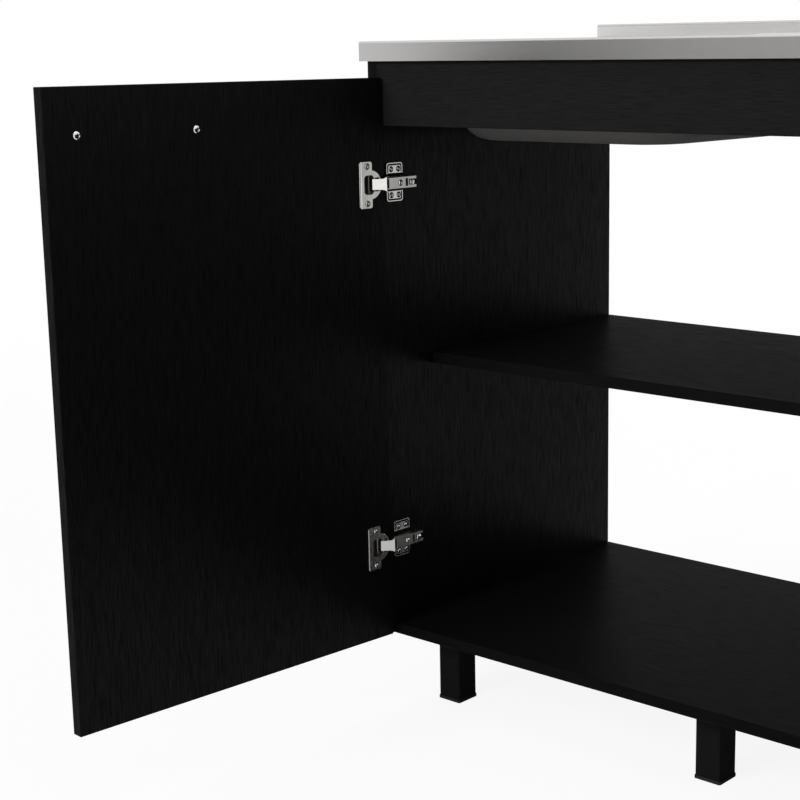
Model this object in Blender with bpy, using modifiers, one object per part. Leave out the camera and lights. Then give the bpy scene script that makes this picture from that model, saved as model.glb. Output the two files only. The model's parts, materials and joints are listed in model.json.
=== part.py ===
"""Kitchen base cabinet: board carcass, pressed steel sink top, square legs, two doors on cup hinges.

Metres, +Z up, front towards -Y. The origin is on the floor, in the middle of the bounding box.
The doors are built closed and stand open at rest. On each hinge a curved link turns about a pin
in the arm on the carcass, and the door's cup turns about a second pin at the link's other end.
"""
import math

import bmesh
import bpy
from mathutils import Vector

# Driving dimensions: carcass
CARCASS_WIDTH = 0.984
SIDE_DEPTH = 0.505
BOARD = 0.015
BOARD_EDGE = 0.0006
WORKTOP_HEIGHT = 0.890
BOTTOM_RECESS = 0.012
RAIL_HEIGHT = 0.105
SHELF_TOP_HEIGHT = 0.476
SHELF_RECESS = 0.097
SHELF_END_PLAY = 0.0005
SEAT_GAP = 0.0003

# Driving dimensions: legs
LEG_HEIGHT = 0.098
LEG_SIDE = 0.036
LEG_WALL = 0.0015
LEG_CORNER = 0.0025
LEG_END_INSET = 0.055
LEG_SETBACK = 0.057
FOOT_THICKNESS = 0.004
FOOT_LIP = 0.0008
FOOT_PLUG = 0.014

# Driving dimensions: sink top
STEEL_OVERHANG = 0.008
STEEL_REAR_OVERHANG = 0.007
STEEL_SHEET = 0.001
STEEL_SKIRT = 0.025
STEEL_EDGE = 0.003
LIP_HEIGHT = 0.022
LIP_THICKNESS = 0.010
BOWL_WIDTH = 0.375
BOWL_LENGTH = 0.400
BOWL_DEPTH = 0.126
BOWL_CORNER = 0.090
BOWL_FLOOR_ROUND = 0.040
BOWL_FROM_END = 0.058
BOWL_FROM_FRONT = 0.068
DRAIN_RADIUS = 0.045

# Driving dimensions: doors
DOOR_THICKNESS = 0.015
DOOR_TOP_DROP = 0.0455
DOOR_BOTTOM_RISE = 0.005
DOOR_MARGIN = 0.001
DOOR_MIDDLE_GAP = 0.003
DOOR_GAP = 0.0025
DOOR_OPEN_DEG = 94.4

# Driving dimensions: hinges
UPPER_HINGE_INSET = 0.134
LOWER_HINGE_INSET = 0.127
LINK_SWING_DEG = 56.87
ARM_PIN_INSET = 0.030
ARM_PIN_DEPTH = -0.00121
CUP_PIN_FROM_EDGE = 0.013
CUP_PIN_SINK = 0.002
PIN_RADIUS = 0.0011
PIN_PLAY = 0.0003
CUP_RADIUS = 0.0175
CUP_FROM_EDGE = 0.0225
CUP_SINK = 0.0115
CUP_WALL = 0.0012
CUP_RIM = 0.0015
CUP_BORE_PLAY = 0.0003
POCKET_HALF_HEIGHT = 0.0088
POCKET_WIDE_HALF_HEIGHT = 0.0123
POCKET_WIDE_NEAR = 0.017
POCKET_WIDE_FAR = 0.0355
POCKET_CORNER = 0.005
FLANGE_THICKNESS = 0.0013
FLANGE_NEAR_EDGE = 0.021
FLANGE_WIDTH = 0.022
FLANGE_HEIGHT = 0.060
FLANGE_CORNER = 0.003
CUP_PIN_HOLD = 0.0018
LINK_HALF_HEIGHT = 0.0067
LINK_EAR = 0.0012
LINK_EAR_RADIUS = 0.0027
LINK_FLARE_SHARE = 0.45
LINK_NOSE_PLAY = 0.0004
LINK_THICKNESS = 0.0024
LINK_RISE = 0.0045
LINK_EYE = 0.0022
ARM_HALF_HEIGHT = 0.0072
ARM_SHEET = 0.0012
ARM_NOSE = 0.0028
ARM_REAR_DEPTH = 0.053
ARM_FOOT_FRONT = 0.014
ARM_FOOT_RISE = 0.0035
PLATE_THICKNESS = 0.0013
PLATE_FRONT = 0.013
PLATE_REAR = 0.043
PLATE_HEIGHT = 0.050
PLATE_CORNER = 0.004
RIDGE_FRONT = 0.0145
RIDGE_REAR = 0.050
CLAMP_SCREW_DEPTH = 0.044
CLAMP_HEAD_RADIUS = 0.0034
CLAMP_HEAD_HEIGHT = 0.0014
CLAMP_SHANK_RADIUS = 0.0018
CLAMP_SHANK_LENGTH = 0.009

# Driving dimensions: handles and small fittings
HANDLE_SPACING = 0.160
HANDLE_FROM_FREE_EDGE = 0.041
HANDLE_FROM_TOP = 0.053
HANDLE_BAR_RADIUS = 0.005
HANDLE_BAR_OVERRUN = 0.020
HANDLE_POST_RADIUS = 0.0045
HANDLE_STANDOFF = 0.028
HANDLE_SCREW_RADIUS = 0.002
HANDLE_SCREW_HEAD_RADIUS = 0.0045
HANDLE_SCREW_HEAD_HEIGHT = 0.0017
HANDLE_SCREW_BITE = 0.009
SCREW_PLAY = 0.0003
SHELF_PIN_RADIUS = 0.0025
SHELF_PIN_BURIED = 0.008
SHELF_PIN_OUT = 0.008
SHELF_PIN_FROM_EDGE = 0.050
OVERCUT = 0.002

# Facet counts
ROUND_SIDES = 24
SMALL_SIDES = 12
ARC_STEPS = 6
FOLD_STEPS = 3

# Sizes that follow from the driving dimensions
HALF_WIDTH = CARCASS_WIDTH / 2
STEEL_REAR = SIDE_DEPTH + STEEL_REAR_OVERHANG
CARCASS_TOP = WORKTOP_HEIGHT - STEEL_SHEET - SEAT_GAP
BOTTOM_TOP = LEG_HEIGHT + BOARD
DOOR_WIDTH = (CARCASS_WIDTH - 2 * DOOR_MARGIN - DOOR_MIDDLE_GAP) / 2
DOOR_TOP = WORKTOP_HEIGHT - DOOR_TOP_DROP
DOOR_BOTTOM = LEG_HEIGHT + DOOR_BOTTOM_RISE
HINGE_HEIGHTS = {"upper": DOOR_TOP - UPPER_HINGE_INSET, "lower": DOOR_BOTTOM + LOWER_HINGE_INSET}
CUP_PIN_INSET = DOOR_MARGIN + CUP_PIN_FROM_EDGE
CUP_PIN_DEPTH = -DOOR_GAP - CUP_PIN_SINK
LEFT = -1
RIGHT = 1
SIDE_NAMES = {LEFT: "left", RIGHT: "right"}

# Finishes: colour, roughness, metallic
FINISHES = {
    "black_melamine": ((0.012, 0.012, 0.013), 0.45, 0.0),
    "brushed_steel": ((0.55, 0.54, 0.52), 0.32, 1.0),
    "nickel": ((0.62, 0.61, 0.58), 0.25, 1.0),
    "black_leg": ((0.018, 0.018, 0.019), 0.40, 0.0),
    "foot_plastic": ((0.05, 0.05, 0.05), 0.55, 0.0),
    "handle_metal": ((0.60, 0.60, 0.59), 0.30, 1.0),
}


class Frame:
    """A place to build in: an empty, the cabinet's side, and the closed place of its vertical axis.

    An inset is counted inwards from that side's outer face, and a depth backwards from the front.
    """

    def __init__(self, empty, side, inset, depth):
        self.empty = empty
        self.side = side
        self.inset = inset
        self.depth = depth

    def at(self, inset, depth, height):
        """The point in the empty's own coordinates."""
        return Vector((self.side * (self.inset - inset), depth - self.depth, height))


def clear_scene():
    for obj in list(bpy.data.objects):
        bpy.data.objects.remove(obj, do_unlink=True)


def new_collection(name):
    collection = bpy.data.collections.new(name)
    bpy.context.scene.collection.children.link(collection)
    return collection


def new_material(name):
    colour, roughness, metallic = FINISHES[name]
    material = bpy.data.materials.new(name)
    material.use_nodes = True
    shader = material.node_tree.nodes["Principled BSDF"]
    shader.inputs["Base Color"].default_value = (*colour, 1.0)
    shader.inputs["Roughness"].default_value = roughness
    shader.inputs["Metallic"].default_value = metallic
    material.diffuse_color = (*colour, 1.0)
    return material


def new_empty(name, location, turn=0.0, parent=None):
    empty = bpy.data.objects.new(name, None)
    PARTS.objects.link(empty)
    empty.location = location
    empty.rotation_euler = (0.0, 0.0, turn)
    empty.parent = parent
    return empty


def finish_mesh(bm, name):
    """Closes a bmesh into a mesh whose faces point out."""
    bmesh.ops.recalc_face_normals(bm, faces=bm.faces)
    mesh = bpy.data.meshes.new(name)
    bm.to_mesh(mesh)
    bm.free()
    return mesh


def box(corner, opposite):
    """A box between two opposite corners."""
    low = Vector(map(min, corner, opposite))
    high = Vector(map(max, corner, opposite))
    bm = bmesh.new()
    bmesh.ops.create_cube(bm, size=1.0)
    bmesh.ops.scale(bm, vec=high - low, verts=bm.verts)
    bmesh.ops.translate(bm, vec=(low + high) / 2, verts=bm.verts)
    return finish_mesh(bm, "box")


def rod(start, end, radius, sides=SMALL_SIDES):
    """A round rod between two points."""
    run = end - start
    bm = bmesh.new()
    bmesh.ops.create_cone(bm, cap_ends=True, segments=sides, radius1=radius, radius2=radius, depth=run.length)
    turn = Vector((0.0, 0.0, 1.0)).rotation_difference(run)
    bmesh.ops.rotate(bm, matrix=turn.to_matrix(), verts=bm.verts)
    bmesh.ops.translate(bm, vec=(start + end) / 2, verts=bm.verts)
    mesh = finish_mesh(bm, "rod")
    mesh.shade_smooth()
    mesh.set_sharp_from_angle(angle=math.radians(40))
    return mesh


def slab(points, low, high):
    """A flat outline in X and Y, extruded from one height to another."""
    curve = bpy.data.curves.new("outline", "CURVE")
    curve.dimensions = "2D"
    curve.fill_mode = "BOTH"
    curve.extrude = (high - low) / 2
    spline = curve.splines.new("POLY")
    spline.points.add(len(points) - 1)
    for spot, point in zip(spline.points, points):
        spot.co = (point[0], point[1], 0.0, 1.0)
    spline.use_cyclic_u = True
    guide = bpy.data.objects.new("outline", curve)
    bpy.context.scene.collection.objects.link(guide)
    shape = guide.evaluated_get(bpy.context.evaluated_depsgraph_get())
    mesh = bpy.data.meshes.new_from_object(shape)
    bpy.data.objects.remove(guide, do_unlink=True)
    bm = bmesh.new()
    bm.from_mesh(mesh)
    bmesh.ops.remove_doubles(bm, verts=bm.verts, dist=0.00001)
    bmesh.ops.translate(bm, vec=(0.0, 0.0, (low + high) / 2), verts=bm.verts)
    return finish_mesh(bm, "slab")


def placed_slab(outline, low, high, place):
    """An outline in two coordinates, extruded along a third; place turns the three into a point."""
    mesh = slab(outline, low, high)
    bm = bmesh.new()
    bm.from_mesh(mesh)
    for vert in bm.verts:
        vert.co = place(*vert.co)
    if bm.calc_volume(signed=True) < 0:
        bmesh.ops.reverse_faces(bm, faces=bm.faces)
    bm.to_mesh(mesh)
    bm.free()
    return mesh


def arc(centre, radius, start_deg, end_deg, steps=ARC_STEPS):
    """Points along an arc, both ends included."""
    points = []
    for step in range(steps + 1):
        angle = math.radians(start_deg + (end_deg - start_deg) * step / steps)
        points.append((centre[0] + radius * math.cos(angle), centre[1] + radius * math.sin(angle)))
    return points


def rounded_rectangle(low, high, radius):
    """The outline of a rectangle in two coordinates with rounded corners."""
    corners = (
        (high[0] - radius, high[1] - radius, 0),
        (low[0] + radius, high[1] - radius, 90),
        (low[0] + radius, low[1] + radius, 180),
        (high[0] - radius, low[1] + radius, 270),
    )
    points = []
    for across, up, start in corners:
        points += arc((across, up), radius, start, start + 90)
    return points


def add_part(name, mesh, finish, frame, edge=None):
    """Places a named piece; edge is the width of its broken edges."""
    mesh.name = name
    mesh.materials.clear()
    mesh.materials.append(MATERIALS[finish])
    part = bpy.data.objects.new(name, mesh)
    PARTS.objects.link(part)
    part.parent = frame.empty
    if edge:
        bevel = part.modifiers.new("edges", "BEVEL")
        bevel.width = edge
        bevel.segments = 1
        bevel.limit_method = "ANGLE"
        bevel.angle_limit = math.radians(40)
    return part


def combine(part, mesh, operation):
    """Cuts a mesh out of a piece, or joins it on."""
    mesh.name = part.name + "_" + operation.lower()
    tool = bpy.data.objects.new(mesh.name, mesh)
    CUTTERS.objects.link(tool)
    tool.parent = part.parent
    tool.hide_render = True
    tool.display_type = "WIRE"
    modifier = part.modifiers.new(operation.lower(), "BOOLEAN")
    modifier.operation = operation
    modifier.solver = "EXACT"
    modifier.object = tool


def cut(part, mesh):
    combine(part, mesh, "DIFFERENCE")


def join(part, mesh):
    combine(part, mesh, "UNION")


def turned(point, about, degrees):
    """A point in inset and depth, turned about another one."""
    angle = math.radians(degrees)
    across = point[0] - about[0]
    along = point[1] - about[1]
    return (
        about[0] + across * math.cos(angle) - along * math.sin(angle),
        about[1] + across * math.sin(angle) + along * math.cos(angle),
    )


def open_place(inset, depth):
    """Where a point of the closed door stands when the door is open, in inset and depth."""
    cup_pin = (CUP_PIN_INSET, CUP_PIN_DEPTH)
    moved_pin = turned(cup_pin, (ARM_PIN_INSET, ARM_PIN_DEPTH), LINK_SWING_DEG)
    swung = turned((inset, depth), cup_pin, -DOOR_OPEN_DEG)
    return (swung[0] + moved_pin[0] - cup_pin[0], swung[1] + moved_pin[1] - cup_pin[1])


def front_plane():
    """The Y of the carcass's front, which puts the box's middle on the origin."""
    free_corner = open_place(DOOR_MARGIN + DOOR_WIDTH, -DOOR_GAP)
    return -(free_corner[1] + STEEL_REAR) / 2


# Carcass

def add_side_panel(frame):
    part = add_part(
        SIDE_NAMES[frame.side] + "_side_panel",
        box(frame.at(0.0, 0.0, LEG_HEIGHT), frame.at(BOARD, SIDE_DEPTH, CARCASS_TOP)),
        "black_melamine", frame, BOARD_EDGE)
    for depth in shelf_pin_depths():
        height = shelf_pin_height()
        inner = frame.at(BOARD + OVERCUT, depth, height)
        blind = frame.at(BOARD - SHELF_PIN_BURIED - PIN_PLAY, depth, height)
        cut(part, rod(inner, blind, SHELF_PIN_RADIUS + PIN_PLAY))


def shelf_pin_depths():
    return (SHELF_RECESS + SHELF_PIN_FROM_EDGE, SIDE_DEPTH - SHELF_PIN_FROM_EDGE)


def shelf_pin_height():
    return SHELF_TOP_HEIGHT - BOARD - SEAT_GAP - SHELF_PIN_RADIUS


def add_shelf_pins(frame):
    for place, depth in zip(("front", "rear"), shelf_pin_depths()):
        buried = frame.at(BOARD - SHELF_PIN_BURIED, depth, shelf_pin_height())
        out = frame.at(BOARD + SHELF_PIN_OUT, depth, shelf_pin_height())
        name = "shelf_pin_{}_{}".format(SIDE_NAMES[frame.side], place)
        add_part(name, rod(buried, out, SHELF_PIN_RADIUS), "nickel", frame)


def add_cross_boards(frame):
    """The boards between the sides: bottom, shelf and the two top rails."""
    inner = BOARD + SEAT_GAP
    far = CARCASS_WIDTH - inner
    rail_bottom = WORKTOP_HEIGHT - STEEL_SHEET - RAIL_HEIGHT
    boards = {
        "bottom_panel": ((inner, BOTTOM_RECESS, LEG_HEIGHT), (far, SIDE_DEPTH, BOTTOM_TOP)),
        "shelf": (
            (BOARD + SHELF_END_PLAY, SHELF_RECESS, SHELF_TOP_HEIGHT - BOARD),
            (CARCASS_WIDTH - BOARD - SHELF_END_PLAY, SIDE_DEPTH, SHELF_TOP_HEIGHT)),
        "front_top_rail": ((inner, 0.0, rail_bottom), (far, BOARD, CARCASS_TOP)),
        "rear_top_rail": ((inner, SIDE_DEPTH - BOARD, rail_bottom), (far, SIDE_DEPTH, CARCASS_TOP)),
    }
    for name, (corner, opposite) in boards.items():
        add_part(name, box(frame.at(*corner), frame.at(*opposite)), "black_melamine", frame, BOARD_EDGE)


# Legs

def leg_places():
    """The insets and depths of the legs' middles, by name."""
    half = LEG_SIDE / 2
    across = {"left": LEG_END_INSET + half, "middle": HALF_WIDTH, "right": CARCASS_WIDTH - LEG_END_INSET - half}
    along = {"front": LEG_SETBACK + half, "rear": SIDE_DEPTH - LEG_SETBACK - half}
    return {
        "{}_{}".format(row, column): (inset, depth)
        for row, depth in along.items() for column, inset in across.items()
    }


def square(frame, place, half, corner):
    """A square outline about a leg's middle."""
    middle = frame.at(place[0], place[1], 0.0)
    low = (middle.x - half, middle.y - half)
    high = (middle.x + half, middle.y + half)
    return rounded_rectangle(low, high, corner)


def add_leg(frame, name, place):
    half = LEG_SIDE / 2
    inner = half - LEG_WALL
    tube_bottom = FOOT_THICKNESS + SEAT_GAP
    tube_top = LEG_HEIGHT - SEAT_GAP
    leg = add_part("leg_" + name, slab(square(frame, place, half, LEG_CORNER), tube_bottom, tube_top),
                   "black_leg", frame)
    hollow = box(frame.at(place[0] - inner, place[1] - inner, tube_bottom - OVERCUT),
                 frame.at(place[0] + inner, place[1] + inner, tube_top - LEG_WALL))
    cut(leg, hollow)
    foot = add_part("foot_" + name, slab(square(frame, place, half + FOOT_LIP, LEG_CORNER), 0.0, FOOT_THICKNESS),
                    "foot_plastic", frame)
    plug = inner - SEAT_GAP
    join(foot, box(frame.at(place[0] - plug, place[1] - plug, FOOT_THICKNESS / 2),
                   frame.at(place[0] + plug, place[1] + plug, FOOT_THICKNESS + FOOT_PLUG)))


# Sink top

def bowl_block(frame, grow, top):
    """The bowl's rounded block, larger by grow, up to a height."""
    left = BOWL_FROM_END - STEEL_OVERHANG
    front = BOWL_FROM_FRONT - STEEL_OVERHANG
    low = frame.at(left - grow, front - grow, WORKTOP_HEIGHT - BOWL_DEPTH - grow)
    high = frame.at(left + BOWL_WIDTH + grow, front + BOWL_LENGTH + grow, top)
    mesh = box(low, high)
    bm = bmesh.new()
    bm.from_mesh(mesh)
    upright = [edge for edge in bm.edges if abs(edge.verts[0].co.z - edge.verts[1].co.z) > BOWL_FLOOR_ROUND]
    bmesh.ops.bevel(bm, geom=upright, offset=BOWL_CORNER + grow, segments=ARC_STEPS, affect="EDGES", profile=0.5)
    floor = min(vert.co.z for vert in bm.verts)
    around = [edge for edge in bm.edges
              if all(abs(vert.co.z - floor) < SEAT_GAP for vert in edge.verts) and len(edge.link_faces) == 2]
    bmesh.ops.bevel(bm, geom=around, offset=BOWL_FLOOR_ROUND + grow, segments=ARC_STEPS, affect="EDGES",
                    profile=0.5)
    mesh.clear_geometry()
    bm.to_mesh(mesh)
    bm.free()
    return mesh


def sheet_profile(grow):
    """The folded top's section in depth and height, drawn inwards by grow from its outer face."""
    front = grow - STEEL_OVERHANG
    rear = STEEL_REAR - grow
    step = STEEL_REAR - LIP_THICKNESS + grow
    top = WORKTOP_HEIGHT - grow
    lip_top = WORKTOP_HEIGHT + LIP_HEIGHT - grow
    bottom = WORKTOP_HEIGHT - STEEL_SKIRT
    if grow:
        bottom -= OVERCUT
    fold = STEEL_EDGE - grow
    points = [(front, bottom), (rear, bottom)]
    points += arc((rear - fold, lip_top - fold), fold, 0, 90, FOLD_STEPS)
    points += arc((step + fold, lip_top - fold), fold, 90, 180, FOLD_STEPS)
    points.append((step, top))
    points += arc((front + fold, top - fold), fold, 90, 180, FOLD_STEPS)
    return points


def add_sink_top(frame):
    """One steel sheet: top, skirt folded down all round, hollow lip at the rear, bowl and drain hole."""
    end = -STEEL_OVERHANG
    far_end = CARCASS_WIDTH + STEEL_OVERHANG
    sheet = STEEL_SHEET

    def across(depth, height, inset):
        return frame.at(inset, depth, height)

    part = add_part("sink_top", placed_slab(sheet_profile(0.0), end, far_end, across), "brushed_steel", frame)
    cut(part, placed_slab(sheet_profile(sheet), end + sheet, far_end - sheet, across))
    join(part, bowl_block(frame, sheet, WORKTOP_HEIGHT - sheet / 2))
    cut(part, bowl_block(frame, 0.0, WORKTOP_HEIGHT + OVERCUT))
    middle_inset = BOWL_FROM_END - STEEL_OVERHANG + BOWL_WIDTH / 2
    middle_depth = BOWL_FROM_FRONT - STEEL_OVERHANG + BOWL_LENGTH / 2
    floor = WORKTOP_HEIGHT - BOWL_DEPTH
    cut(part, rod(frame.at(middle_inset, middle_depth, floor - sheet - OVERCUT),
                  frame.at(middle_inset, middle_depth, floor + OVERCUT), DRAIN_RADIUS, ROUND_SIDES))


# Doors

def from_edge(distance):
    """The inset of a point on the closed door, from its hinge edge."""
    return DOOR_MARGIN + distance


def into_door(distance):
    """The depth of a point below the closed door's inner face; negative stands proud of it."""
    return -DOOR_GAP - distance


def handle_screw_places():
    near = DOOR_WIDTH - HANDLE_FROM_FREE_EDGE
    return {"outer": near, "inner": near - HANDLE_SPACING}


def add_door(frame):
    side = SIDE_NAMES[frame.side]
    door = add_part(
        side + "_door",
        box(frame.at(from_edge(0.0), into_door(0.0), DOOR_BOTTOM),
            frame.at(from_edge(DOOR_WIDTH), into_door(DOOR_THICKNESS), DOOR_TOP)),
        "black_melamine", frame, BOARD_EDGE)
    bore = CUP_RADIUS + CUP_BORE_PLAY
    for height in HINGE_HEIGHTS.values():
        cut(door, rod(frame.at(from_edge(CUP_FROM_EDGE), into_door(-OVERCUT), height),
                      frame.at(from_edge(CUP_FROM_EDGE), into_door(CUP_SINK + CUP_BORE_PLAY), height),
                      bore, ROUND_SIDES))
    height = DOOR_TOP - HANDLE_FROM_TOP
    for distance in handle_screw_places().values():
        cut(door, rod(frame.at(from_edge(distance), into_door(-OVERCUT), height),
                      frame.at(from_edge(distance), into_door(DOOR_THICKNESS + OVERCUT), height),
                      HANDLE_SCREW_RADIUS + SCREW_PLAY))


def add_handle(frame):
    """A round bar on two posts, on the door's outer face, with a screw through the door at each post."""
    side = SIDE_NAMES[frame.side]
    height = DOOR_TOP - HANDLE_FROM_TOP
    face = DOOR_THICKNESS + SEAT_GAP
    places = handle_screw_places()
    bar_sink = DOOR_THICKNESS + HANDLE_STANDOFF
    handle = add_part(
        side + "_handle",
        rod(frame.at(from_edge(places["inner"] - HANDLE_BAR_OVERRUN), into_door(bar_sink), height),
            frame.at(from_edge(places["outer"] + HANDLE_BAR_OVERRUN), into_door(bar_sink), height),
            HANDLE_BAR_RADIUS, ROUND_SIDES),
        "handle_metal", frame)
    for distance in places.values():
        join(handle, rod(frame.at(from_edge(distance), into_door(face), height),
                         frame.at(from_edge(distance), into_door(bar_sink), height), HANDLE_POST_RADIUS))
    for place, distance in places.items():
        tip = DOOR_THICKNESS + HANDLE_SCREW_BITE
        cut(handle, rod(frame.at(from_edge(distance), into_door(face - OVERCUT), height),
                        frame.at(from_edge(distance), into_door(tip + SCREW_PLAY), height),
                        HANDLE_SCREW_RADIUS + SCREW_PLAY))
        screw = add_part(
            "{}_handle_screw_{}".format(side, place),
            rod(frame.at(from_edge(distance), into_door(-SEAT_GAP - HANDLE_SCREW_HEAD_HEIGHT), height),
                frame.at(from_edge(distance), into_door(-SEAT_GAP), height), HANDLE_SCREW_HEAD_RADIUS),
            "nickel", frame)
        join(screw, rod(frame.at(from_edge(distance), into_door(-SEAT_GAP - HANDLE_SCREW_HEAD_HEIGHT / 2), height),
                        frame.at(from_edge(distance), into_door(tip), height), HANDLE_SCREW_RADIUS))


# Hinges

def upright_slab(frame, outline, low, high):
    """An outline in inset and depth, extruded between two heights."""
    points = [frame.at(inset, depth, 0.0) for inset, depth in outline]
    return slab([(point.x, point.y) for point in points], low, high)


def face_slab(frame, outline, near, far, on_door):
    """An outline in distance and height, raised between two levels of the door's or the panel's face."""

    def on_the_door(distance, height, level):
        return frame.at(from_edge(distance), into_door(-level), height)

    def on_the_panel(distance, height, level):
        return frame.at(BOARD + level, distance, height)

    return placed_slab(outline, near, far, on_the_door if on_door else on_the_panel)


def add_cup(frame, label, height):
    """The round cup in the door with its screw flange, a pocket for the link, and the pin's seat."""
    middle = from_edge(CUP_FROM_EDGE)
    half = FLANGE_HEIGHT / 2
    flange_top = SEAT_GAP + FLANGE_THICKNESS
    outline = rounded_rectangle((FLANGE_NEAR_EDGE, height - half), (FLANGE_NEAR_EDGE + FLANGE_WIDTH, height + half),
                                FLANGE_CORNER)
    cup = add_part("hinge_cup_" + label, face_slab(frame, outline, SEAT_GAP, flange_top, True), "nickel", frame)
    join(cup, rod(frame.at(middle, into_door(-flange_top), height), frame.at(middle, into_door(-SEAT_GAP), height),
                  CUP_RADIUS + CUP_RIM, ROUND_SIDES))
    join(cup, rod(frame.at(middle, into_door(-flange_top + FLANGE_THICKNESS / 2), height),
                  frame.at(middle, into_door(CUP_SINK), height), CUP_RADIUS, ROUND_SIDES))
    half_run = math.sqrt(CUP_RADIUS ** 2 - POCKET_HALF_HEIGHT ** 2) - CUP_WALL
    cut(cup, box(frame.at(middle - half_run, into_door(-flange_top - OVERCUT), height - POCKET_HALF_HEIGHT),
                 frame.at(middle + half_run, into_door(CUP_SINK - CUP_WALL), height + POCKET_HALF_HEIGHT)))
    wide = rounded_rectangle((POCKET_WIDE_NEAR, height - POCKET_WIDE_HALF_HEIGHT),
                             (POCKET_WIDE_FAR, height + POCKET_WIDE_HALF_HEIGHT), POCKET_CORNER)
    cut(cup, face_slab(frame, wide, CUP_WALL - CUP_SINK, flange_top + OVERCUT, True))
    seat = POCKET_HALF_HEIGHT + CUP_PIN_HOLD
    cut(cup, rod(frame.at(CUP_PIN_INSET, CUP_PIN_DEPTH, height - seat),
                 frame.at(CUP_PIN_INSET, CUP_PIN_DEPTH, height + seat), PIN_RADIUS + PIN_PLAY))
    reach = seat - PIN_PLAY
    pin = rod(frame.at(CUP_PIN_INSET, CUP_PIN_DEPTH, height - reach),
              frame.at(CUP_PIN_INSET, CUP_PIN_DEPTH, height + reach), PIN_RADIUS)
    add_part("hinge_cup_pin_" + label, pin, "nickel", frame)


def link_strip(frame, share, low, high):
    """The link's bowed strip, over a share of the way from the arm pin to the cup pin."""
    arm_pin = Vector((ARM_PIN_INSET, ARM_PIN_DEPTH))
    cup_pin = Vector((CUP_PIN_INSET, CUP_PIN_DEPTH))
    chord = cup_pin - arm_pin
    half = chord.length / 2
    radius = (half ** 2 + LINK_RISE ** 2) / (2 * LINK_RISE)
    sideways = Vector((-chord.y, chord.x)).normalized()
    centre = (arm_pin + cup_pin) / 2 - sideways * (radius - LINK_RISE)
    start = math.degrees(math.atan2(arm_pin.y - centre.y, arm_pin.x - centre.x))
    end = start - math.degrees(2 * math.asin(half / radius)) * share
    outer = arc(centre, radius + LINK_THICKNESS / 2, start, end, 2 * ARC_STEPS)
    inner = arc(centre, radius - LINK_THICKNESS / 2, end, start, 2 * ARC_STEPS)
    return upright_slab(frame, outer + inner, low, high)


def link_ear_inside():
    """The half height at which the link's ears pass the arm's cheeks."""
    return ARM_HALF_HEIGHT + SEAT_GAP


def link_ear_outside():
    return link_ear_inside() + LINK_EAR


def add_link(frame, label, height):
    """The link between the two pins, bowed to the front when the door is closed.

    Its wide end has two ears, one on each side of the arm's nose.
    """
    narrow = LINK_HALF_HEIGHT
    wide = link_ear_outside()
    link = add_part("hinge_link_" + label, link_strip(frame, 1.0, height - narrow, height + narrow), "nickel", frame)
    join(link, link_strip(frame, LINK_FLARE_SHARE, height - wide, height + wide))
    arm_pin = (ARM_PIN_INSET, ARM_PIN_DEPTH)
    cup_pin = (CUP_PIN_INSET, CUP_PIN_DEPTH)
    join(link, rod(frame.at(*cup_pin, height - narrow), frame.at(*cup_pin, height + narrow), LINK_EYE))
    join(link, rod(frame.at(*arm_pin, height - wide), frame.at(*arm_pin, height + wide), LINK_EAR_RADIUS))
    inside = link_ear_inside()
    cut(link, rod(frame.at(*arm_pin, height - inside), frame.at(*arm_pin, height + inside),
                  ARM_NOSE + LINK_NOSE_PLAY, ROUND_SIDES))
    for pin in (arm_pin, cup_pin):
        cut(link, rod(frame.at(*pin, height - wide - OVERCUT), frame.at(*pin, height + wide + OVERCUT),
                      PIN_RADIUS + PIN_PLAY))


def add_arm(frame, label, height):
    """The channel-shaped arm over the mounting plate, its nose carrying the front pin."""
    foot = BOARD + ARM_FOOT_RISE
    back = ARM_PIN_INSET + ARM_NOSE
    nose = arc((ARM_PIN_INSET, ARM_PIN_DEPTH), ARM_NOSE, 0, -180, 2 * ARC_STEPS)
    outline = nose + [(foot, ARM_FOOT_FRONT), (foot, ARM_REAR_DEPTH), (back, ARM_REAR_DEPTH)]
    arm = add_part("hinge_arm_" + label,
                   upright_slab(frame, outline, height - ARM_HALF_HEIGHT, height + ARM_HALF_HEIGHT),
                   "nickel", frame)
    inside = ARM_HALF_HEIGHT - ARM_SHEET
    web = back - ARM_SHEET
    front = ARM_PIN_DEPTH - ARM_NOSE - OVERCUT
    cut(arm, box(frame.at(foot - OVERCUT, front, height - inside),
                 frame.at(web, ARM_REAR_DEPTH + OVERCUT, height + inside)))
    reach = link_ear_outside()
    cut(arm, rod(frame.at(ARM_PIN_INSET, ARM_PIN_DEPTH, height - reach - OVERCUT),
                 frame.at(ARM_PIN_INSET, ARM_PIN_DEPTH, height + reach + OVERCUT), PIN_RADIUS + PIN_PLAY))
    slot_half = CLAMP_SHANK_RADIUS + SCREW_PLAY
    cut(arm, rod(frame.at(web - OVERCUT, CLAMP_SCREW_DEPTH, height),
                 frame.at(back + OVERCUT, CLAMP_SCREW_DEPTH, height), slot_half))
    cut(arm, box(frame.at(web - OVERCUT, CLAMP_SCREW_DEPTH, height - slot_half),
                 frame.at(back + OVERCUT, ARM_REAR_DEPTH + OVERCUT, height + slot_half)))
    pin = rod(frame.at(ARM_PIN_INSET, ARM_PIN_DEPTH, height - reach),
              frame.at(ARM_PIN_INSET, ARM_PIN_DEPTH, height + reach), PIN_RADIUS)
    add_part("hinge_arm_pin_" + label, pin, "nickel", frame)


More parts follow.
